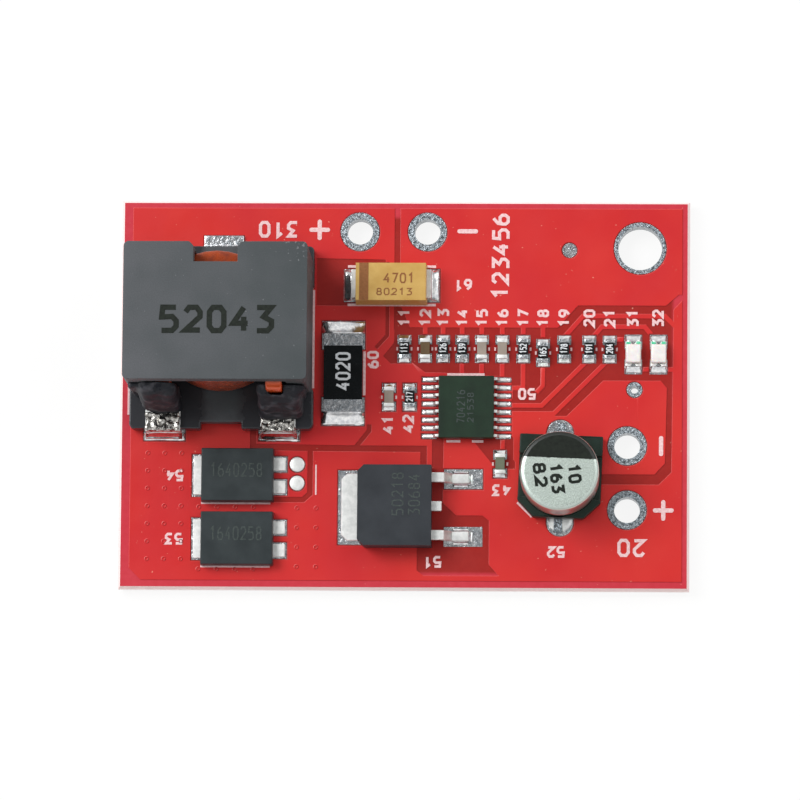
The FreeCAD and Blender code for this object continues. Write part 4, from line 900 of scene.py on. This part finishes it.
# %% [markdown]
# Some parts of the model hold several loose solids, such as all the pins of a package.
# A copy of the mesh, separated into loose parts, tells where each of them lies.

# %% Loose solids
def spots(part):
    """The lowest and highest corner of each loose solid of a part."""
    piece = loose_copy([part], "measure")
    editing(piece)
    bpy.ops.mesh.separate(type="LOOSE")
    done()
    boxes = []
    for solid in list(bpy.context.selected_objects):
        boxes.append(mesh_box(solid))
        bpy.data.objects.remove(solid)
    return sorted(boxes, key=lambda b: (round(b[0].y, 5), round(b[0].x, 5)))


light_boxes = spots("status_light_substrates")
print(len(light_boxes), "lights")

# %% [markdown]
# The parts that have solder at both ends along the board's depth come first: the small
# chips, the lights and the sense resistor. The chips' fillets are low and almost
# straight, and the sense resistor's is a broad hollow slope.

# %% Fillets at chips and lights
CHIP_HALF_LENGTH = 0.8 * MM
LIGHT_HALF_LENGTH = 1.0 * MM
chip_middles = [sum(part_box(chip + "body"), Vector()) / 2 for chip in resistors + capacitors]
places = [place for at in chip_middles for place in both_ends(at, CHIP_HALF_LENGTH)]
fillets = set_out(fillet("chip_fillet", 0.98 * MM, 0.3 * MM, 0.22 * MM, 0.05 * MM, 1.3), places)

places = [place for corners in light_boxes
          for place in both_ends(sum(corners, Vector()) / 2, LIGHT_HALF_LENGTH)]
fillets += set_out(fillet("light_fillet", 1.3 * MM, 0.5 * MM, 0.3 * MM, 0.05 * MM, 1.3), places)

sense_low, sense_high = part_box("sense_resistor_end_caps")
places = both_ends((sense_low + sense_high) / 2, (sense_high.y - sense_low.y) / 2)
fillets += set_out(fillet("sense_fillet", 3.4 * MM, 1.03 * MM, 0.56 * MM, 0.05 * MM, 2), places)

# %% [markdown]
# The cathode end of each light carries two green marks, left and right of the dome's
# end. Each is a low cylinder with a rounded rim, pressed to an oval.

# %% Green ends
MARK_RADIUS = 0.2 * MM
MARK_ASIDE = 0.4 * MM
MARK_BEHIND = 0.11 * MM
end_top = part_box("status_light_terminals")[1].z
marks = []
for low, high in light_boxes:
    for aside in (-MARK_ASIDE, MARK_ASIDE):
        mark = new_piece("green_end", bpy.ops.mesh.primitive_cylinder_add, vertices=24,
                         radius=MARK_RADIUS, depth=0.05 * MM)
        mark.scale = (1, 0.6, 1)
        mark.location = ((low.x + high.x) / 2 + aside, high.y + MARK_BEHIND, end_top)
        settle(mark)
        rounded_edges(mark, 0.02 * MM)
        marks.append(mark)
finish_piece(joined(marks, "cathode_marks"), cathode_green)

# %% [markdown]
# The tantalum capacitor is soldered at its left and right. The inductor's two front
# terminals have a steep toe of solder and a low apron that thins out to the pad's edge.

# %% Fillets at terminals
TOE_BEHIND = 0.35 * MM
TOE_LIFT = 0.2 * MM
APRON_BEHIND = 0.41 * MM
low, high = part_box("tantalum_capacitor_terminals")
middle_y = (low.y + high.y) / 2
places = [((low.x, middle_y, pad_top), -math.pi / 2), ((high.x, middle_y, pad_top), math.pi / 2)]
fillets += set_out(fillet("end_fillet", 2.5 * MM, 0.6 * MM, 0.45 * MM, 0.08 * MM, 1.3), places)

clips = {side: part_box("inductor_terminal_" + side) for side in ("left", "right")}
places = [(((low.x + high.x) / 2, low.y + TOE_BEHIND, pad_top + TOE_LIFT), 0)
          for low, high in clips.values()]
fillets += set_out(fillet("toe_fillet", 2.9 * MM, 0.42 * MM, 1.1 * MM, 0.1 * MM), places)
places = [(((low.x + high.x) / 2, low.y + APRON_BEHIND, pad_top), 0)
          for low, high in clips.values()]
fillets += set_out(fillet("apron_fillet", 3.3 * MM, 0.6 * MM, 0.36 * MM, 0.03 * MM, 1.2), places)

# %% [markdown]
# A flat lead lies in its solder: a small fillet stands at the transistor's two feet and
# along their flanks, and one at the tip of each pin of the controller.

# %% Fillets at leads and pins
LONG_LEAD = 2 * MM
FLANK_BACK = 0.65 * MM
body_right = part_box("transistor_body")[1].x
feet = [box for box in spots("transistor_leads") if box[1].x - body_right > LONG_LEAD]
places = [((high.x, (low.y + high.y) / 2, pad_top), math.pi / 2) for low, high in feet]
fillets += set_out(fillet("foot_fillet", 0.86 * MM, 0.3 * MM, 0.34 * MM, 0.03 * MM, 3), places)
places = [((high.x - FLANK_BACK, y, pad_top), turn) for low, high in feet
          for y, turn in ((low.y, 0), (high.y, math.pi))]
fillets += set_out(fillet("flank_fillet", 1.3 * MM, 0.24 * MM, 0.34 * MM, 0.03 * MM, 3), places)

body_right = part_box("controller_body")[1].x
places = []
for low, high in spots("controller_leads"):
    outward = 1 if (low.x + high.x) / 2 > body_right else -1
    tip = high.x if outward > 0 else low.x
    places.append(((tip, (low.y + high.y) / 2, pad_top), outward * math.pi / 2))
fillets += set_out(fillet("pin_fillet", 0.28 * MM, 0.3 * MM, 0.13 * MM, 0.03 * MM, 1.2), places)

# %% [markdown]
# Where solder fills a hole or floods a round pad it sets as a shallow drop, the top of
# a ball cut off at the pad. Two drops fill the vias beside the rear diode, and one lies
# under the can's front lead. All the fillets are then joined, and a cloud pattern of
# half a millimetre makes them a little uneven, as solder is when it has set.

# %% Drops, and the fillets joined
VIA_OUT = 0.91 * MM
VIA_SHIFTS = (0.91 * MM, -0.58 * MM)
CAN_PAD_OUT = 3.3 * MM


def dome(name, at, radius, height):
    """A shallow drop of solder, the top of a ball cut off just under the pads' top."""
    drop = new_piece(name, bpy.ops.mesh.primitive_uv_sphere_add, segments=32, ring_count=16,
                     radius=radius)
    drop.scale.z = height / radius
    drop.location = at
    settle(drop)
    editing(drop)
    bpy.ops.mesh.bisect(plane_co=(0, 0, pad_top - 0.02 * MM), plane_no=(0, 0, 1),
                        clear_inner=True, use_fill=True)
    done()
    return drop


low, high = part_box("diode_2_leads")
drops = [dome("filled_via", (high.x + VIA_OUT, (low.y + high.y) / 2 + shift,
                             pad_top + 0.08 * MM), 0.6 * MM, 0.1 * MM) for shift in VIA_SHIFTS]
drops.append(dome("can_solder", (can_centre.x, can_centre.y - CAN_PAD_OUT, pad_top), 1.02 * MM,
                  0.13 * MM))
finish_piece(joined(drops, "solder_drops"), tin_plate, smooth=180)
solder_piece = joined(fillets, "solder_fillets")
pushed_about(solder_piece, "solder_lumps", 0.5, 0.05)
finish_piece(solder_piece, solder, ["solder_joints"], 180)

# %% [markdown]
# The inductor's front terminals were soldered by hand, with the coil's end pressed in.
# The heap of solder there is rough and browned by flux: a cut-up block is smoothed, its
# skin is pushed about by a cloud pattern, and it is stretched back to its box.
# The left one has a round drop on its front.

# %% Solder on the front terminals
CLIP_THICKNESS = 0.25 * MM
HEAP_OVERHANG = 0.03 * MM
HEAPS = {"left": (-1.65 * MM, 0.5 * MM), "right": (-2.1 * MM, 0.42 * MM)}


def solder_heap(name, low, high):
    heap = new_piece(name, bpy.ops.mesh.primitive_cube_add, size=1, location=(low + high) / 2)
    heap.scale = high - low
    settle(heap)
    editing(heap)
    bpy.ops.mesh.subdivide(number_cuts=17)
    done()
    apply_modifier(heap, "SMOOTH", factor=0.5, iterations=4)
    pushed_about(heap, name, 0.45, 0.42)
    fill_box(heap, low, high)
    return heap


flap_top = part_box("inductor_lower_core")[1].z + CLIP_THICKNESS
for side, (rear, tall) in HEAPS.items():
    low, high = clips[side]
    front_corner = Vector((low.x - HEAP_OVERHANG, low.y + 0.3 * MM, flap_top - 0.15 * MM))
    rear_corner = Vector((high.x + HEAP_OVERHANG, rear, flap_top + tall))
    pieces = [solder_heap("clip_solder_" + side, front_corner, rear_corner)]
    if side == "left":
        drop_at = ((low.x + high.x) / 2 - 0.06 * MM, -2.45 * MM, flap_top + 0.32 * MM)
        pieces.append(dome("round_drop", drop_at, 0.4 * MM, 0.34 * MM))
    finish_piece(joined(pieces, "clip_solder_" + side), smoked_solder, smooth=180)

# %% [markdown]
# Small vias under the mask show as faint rings with a dimple, where the film sinks
# into the drilled hole. One is made from a short cylinder, inset and pushed down, and
# copied to three groups: three columns at the board's left edge, a row between the
# diodes and one in front of them, and two columns to their right. Each group starts at
# a place and has a step, in millimetres.

# %% Tented vias
def via_dimple():
    dimple = new_piece("dimple", bpy.ops.mesh.primitive_cylinder_add, vertices=16,
                       radius=0.2 * MM, depth=0.06 * MM)
    editing(dimple)
    choose("FACE", lambda item, at: item.normal.z > 0.9)
    bpy.ops.mesh.inset(thickness=0.08 * MM)
    bpy.ops.mesh.inset(thickness=0.05 * MM)
    bpy.ops.transform.translate(value=(0, 0, -0.05 * MM))
    choose("EDGE", lambda item, at: at.z > 0.02 * MM and math.hypot(at.x, at.y) > 0.15 * MM)
    bpy.ops.mesh.bevel(offset=0.03 * MM, segments=2)
    done()
    return dimple


def group(x, y, columns, rows, step_x, step_y):
    return [(((x + step_x * column) * MM, (y - step_y * row) * MM, pad_top), 0)
            for column in range(columns) for row in range(rows)]


via_places = group(-20.41, -4.75, 3, 7, 1.35, 1.41)
via_places += group(-16.31, -9.05, 4, 2, 1.46, 4.96)
via_places += group(-8.49, -9.11, 2, 4, 1.54, 1.56)
finish_piece(joined(set_out(via_dimple(), via_places), "tented_vias"), masked_copper)

# %% [markdown]
# The board lies on a pale sweep under a plain studio light. The sheet is white to the
# camera and in reflections, yet part of it is a real diffuse white, so the board still
# sets its soft shadow on it.

# %% Floor
FLOOR_GLOW = 0.88
floor = new_piece("pale_sheet", bpy.ops.mesh.primitive_plane_add, size=3,
                  location=(0, 0, -0.02 * MM))
sheet, add, at = blank_material("pale_paper_sheet")
fibre = add("TexNoise", at, cells(4.0), 3)
paper = add("Mix", fibre, "#F4F4F2", "#FAFAF8", **RGBA)
seen = add("LightPath", result="Is Camera Ray")
for ray in ("Is Glossy Ray", "Is Transmission Ray"):
    seen = add("Math", seen, add("LightPath", result=ray), operation="MAXIMUM")
share = add("Math", seen, FLOOR_GLOW, operation="MULTIPLY")
mixed = add("MixShader", share, add("BsdfDiffuse", paper), add("Emission", "#FFFFFF", 1))
add("OutputMaterial", mixed)
floor.data.materials.append(sheet)
print("floor", round(floor.dimensions.x, 1), "m wide")

# %% [markdown]
# The room is a white light tent with a dark opening above, where the camera looks in.
# Solder and tin have almost no colour of their own, so they show the tent: flat tin
# sees the opening and reads grey, and every rounded rim turns to the bright wall and
# gets a white outline. The red film stays clear and deep for the same reason. The soft
# part of the light is a little weaker from the front, where the photographer stands.

# %% Room
world = bpy.data.worlds.new("studio")
bpy.context.scene.world = world
world.use_nodes = True
world.node_tree.nodes.clear()
add = partial(node, world.node_tree)
towards = add("TexCoord", result="Generated")
FRONT = (0.1, -0.82, 0.56)
ABOVE = (-0.04, 0.12, 0.99)
WALL = (0.1, 0.45)
OPENING = (0.9, 0.975)


def cone(axis, low, high):
    """A share that grows from 0 to 1 as the direction turns towards an axis."""
    toward = add("VectorMath", towards, axis, operation="DOT_PRODUCT")
    return add("MapRange", toward, low, high)


def grey(level):
    return (level, level, level * 1.01, 1)


soft = add("Mix", cone(FRONT, 0, 0.9), grey(0.8), grey(0.5), **RGBA)
mirrored = add("Mix", cone(ABOVE, *WALL), grey(0.1), grey(0.95), **RGBA)
mirrored = add("Mix", cone(ABOVE, *OPENING), mirrored, grey(0.14), **RGBA)
glossy_ray = add("LightPath", result="Is Glossy Ray")
camera_ray = add("LightPath", result="Is Camera Ray")
room = add("Mix", glossy_ray, soft, mirrored, **RGBA)
room = add("Mix", camera_ray, room, grey(1), **RGBA)
add("OutputWorld", add("Background", room, 1))


def softbox(name, place_at, size, power):
    data = bpy.data.lights.new(name, "AREA")
    data.size = size
    data.energy = power
    lamp = bpy.data.objects.new(name, data)
    bpy.context.scene.collection.objects.link(lamp)
    lamp.location = place_at
    lamp.rotation_euler = (-Vector(place_at)).to_track_quat("-Z", "Y").to_euler()


softbox("key", (-0.32, 0.16, 0.42), 0.28, 1.9)
softbox("fill", (0.35, 0.2, 0.4), 0.3, 0.35)
print("two soft boxes")
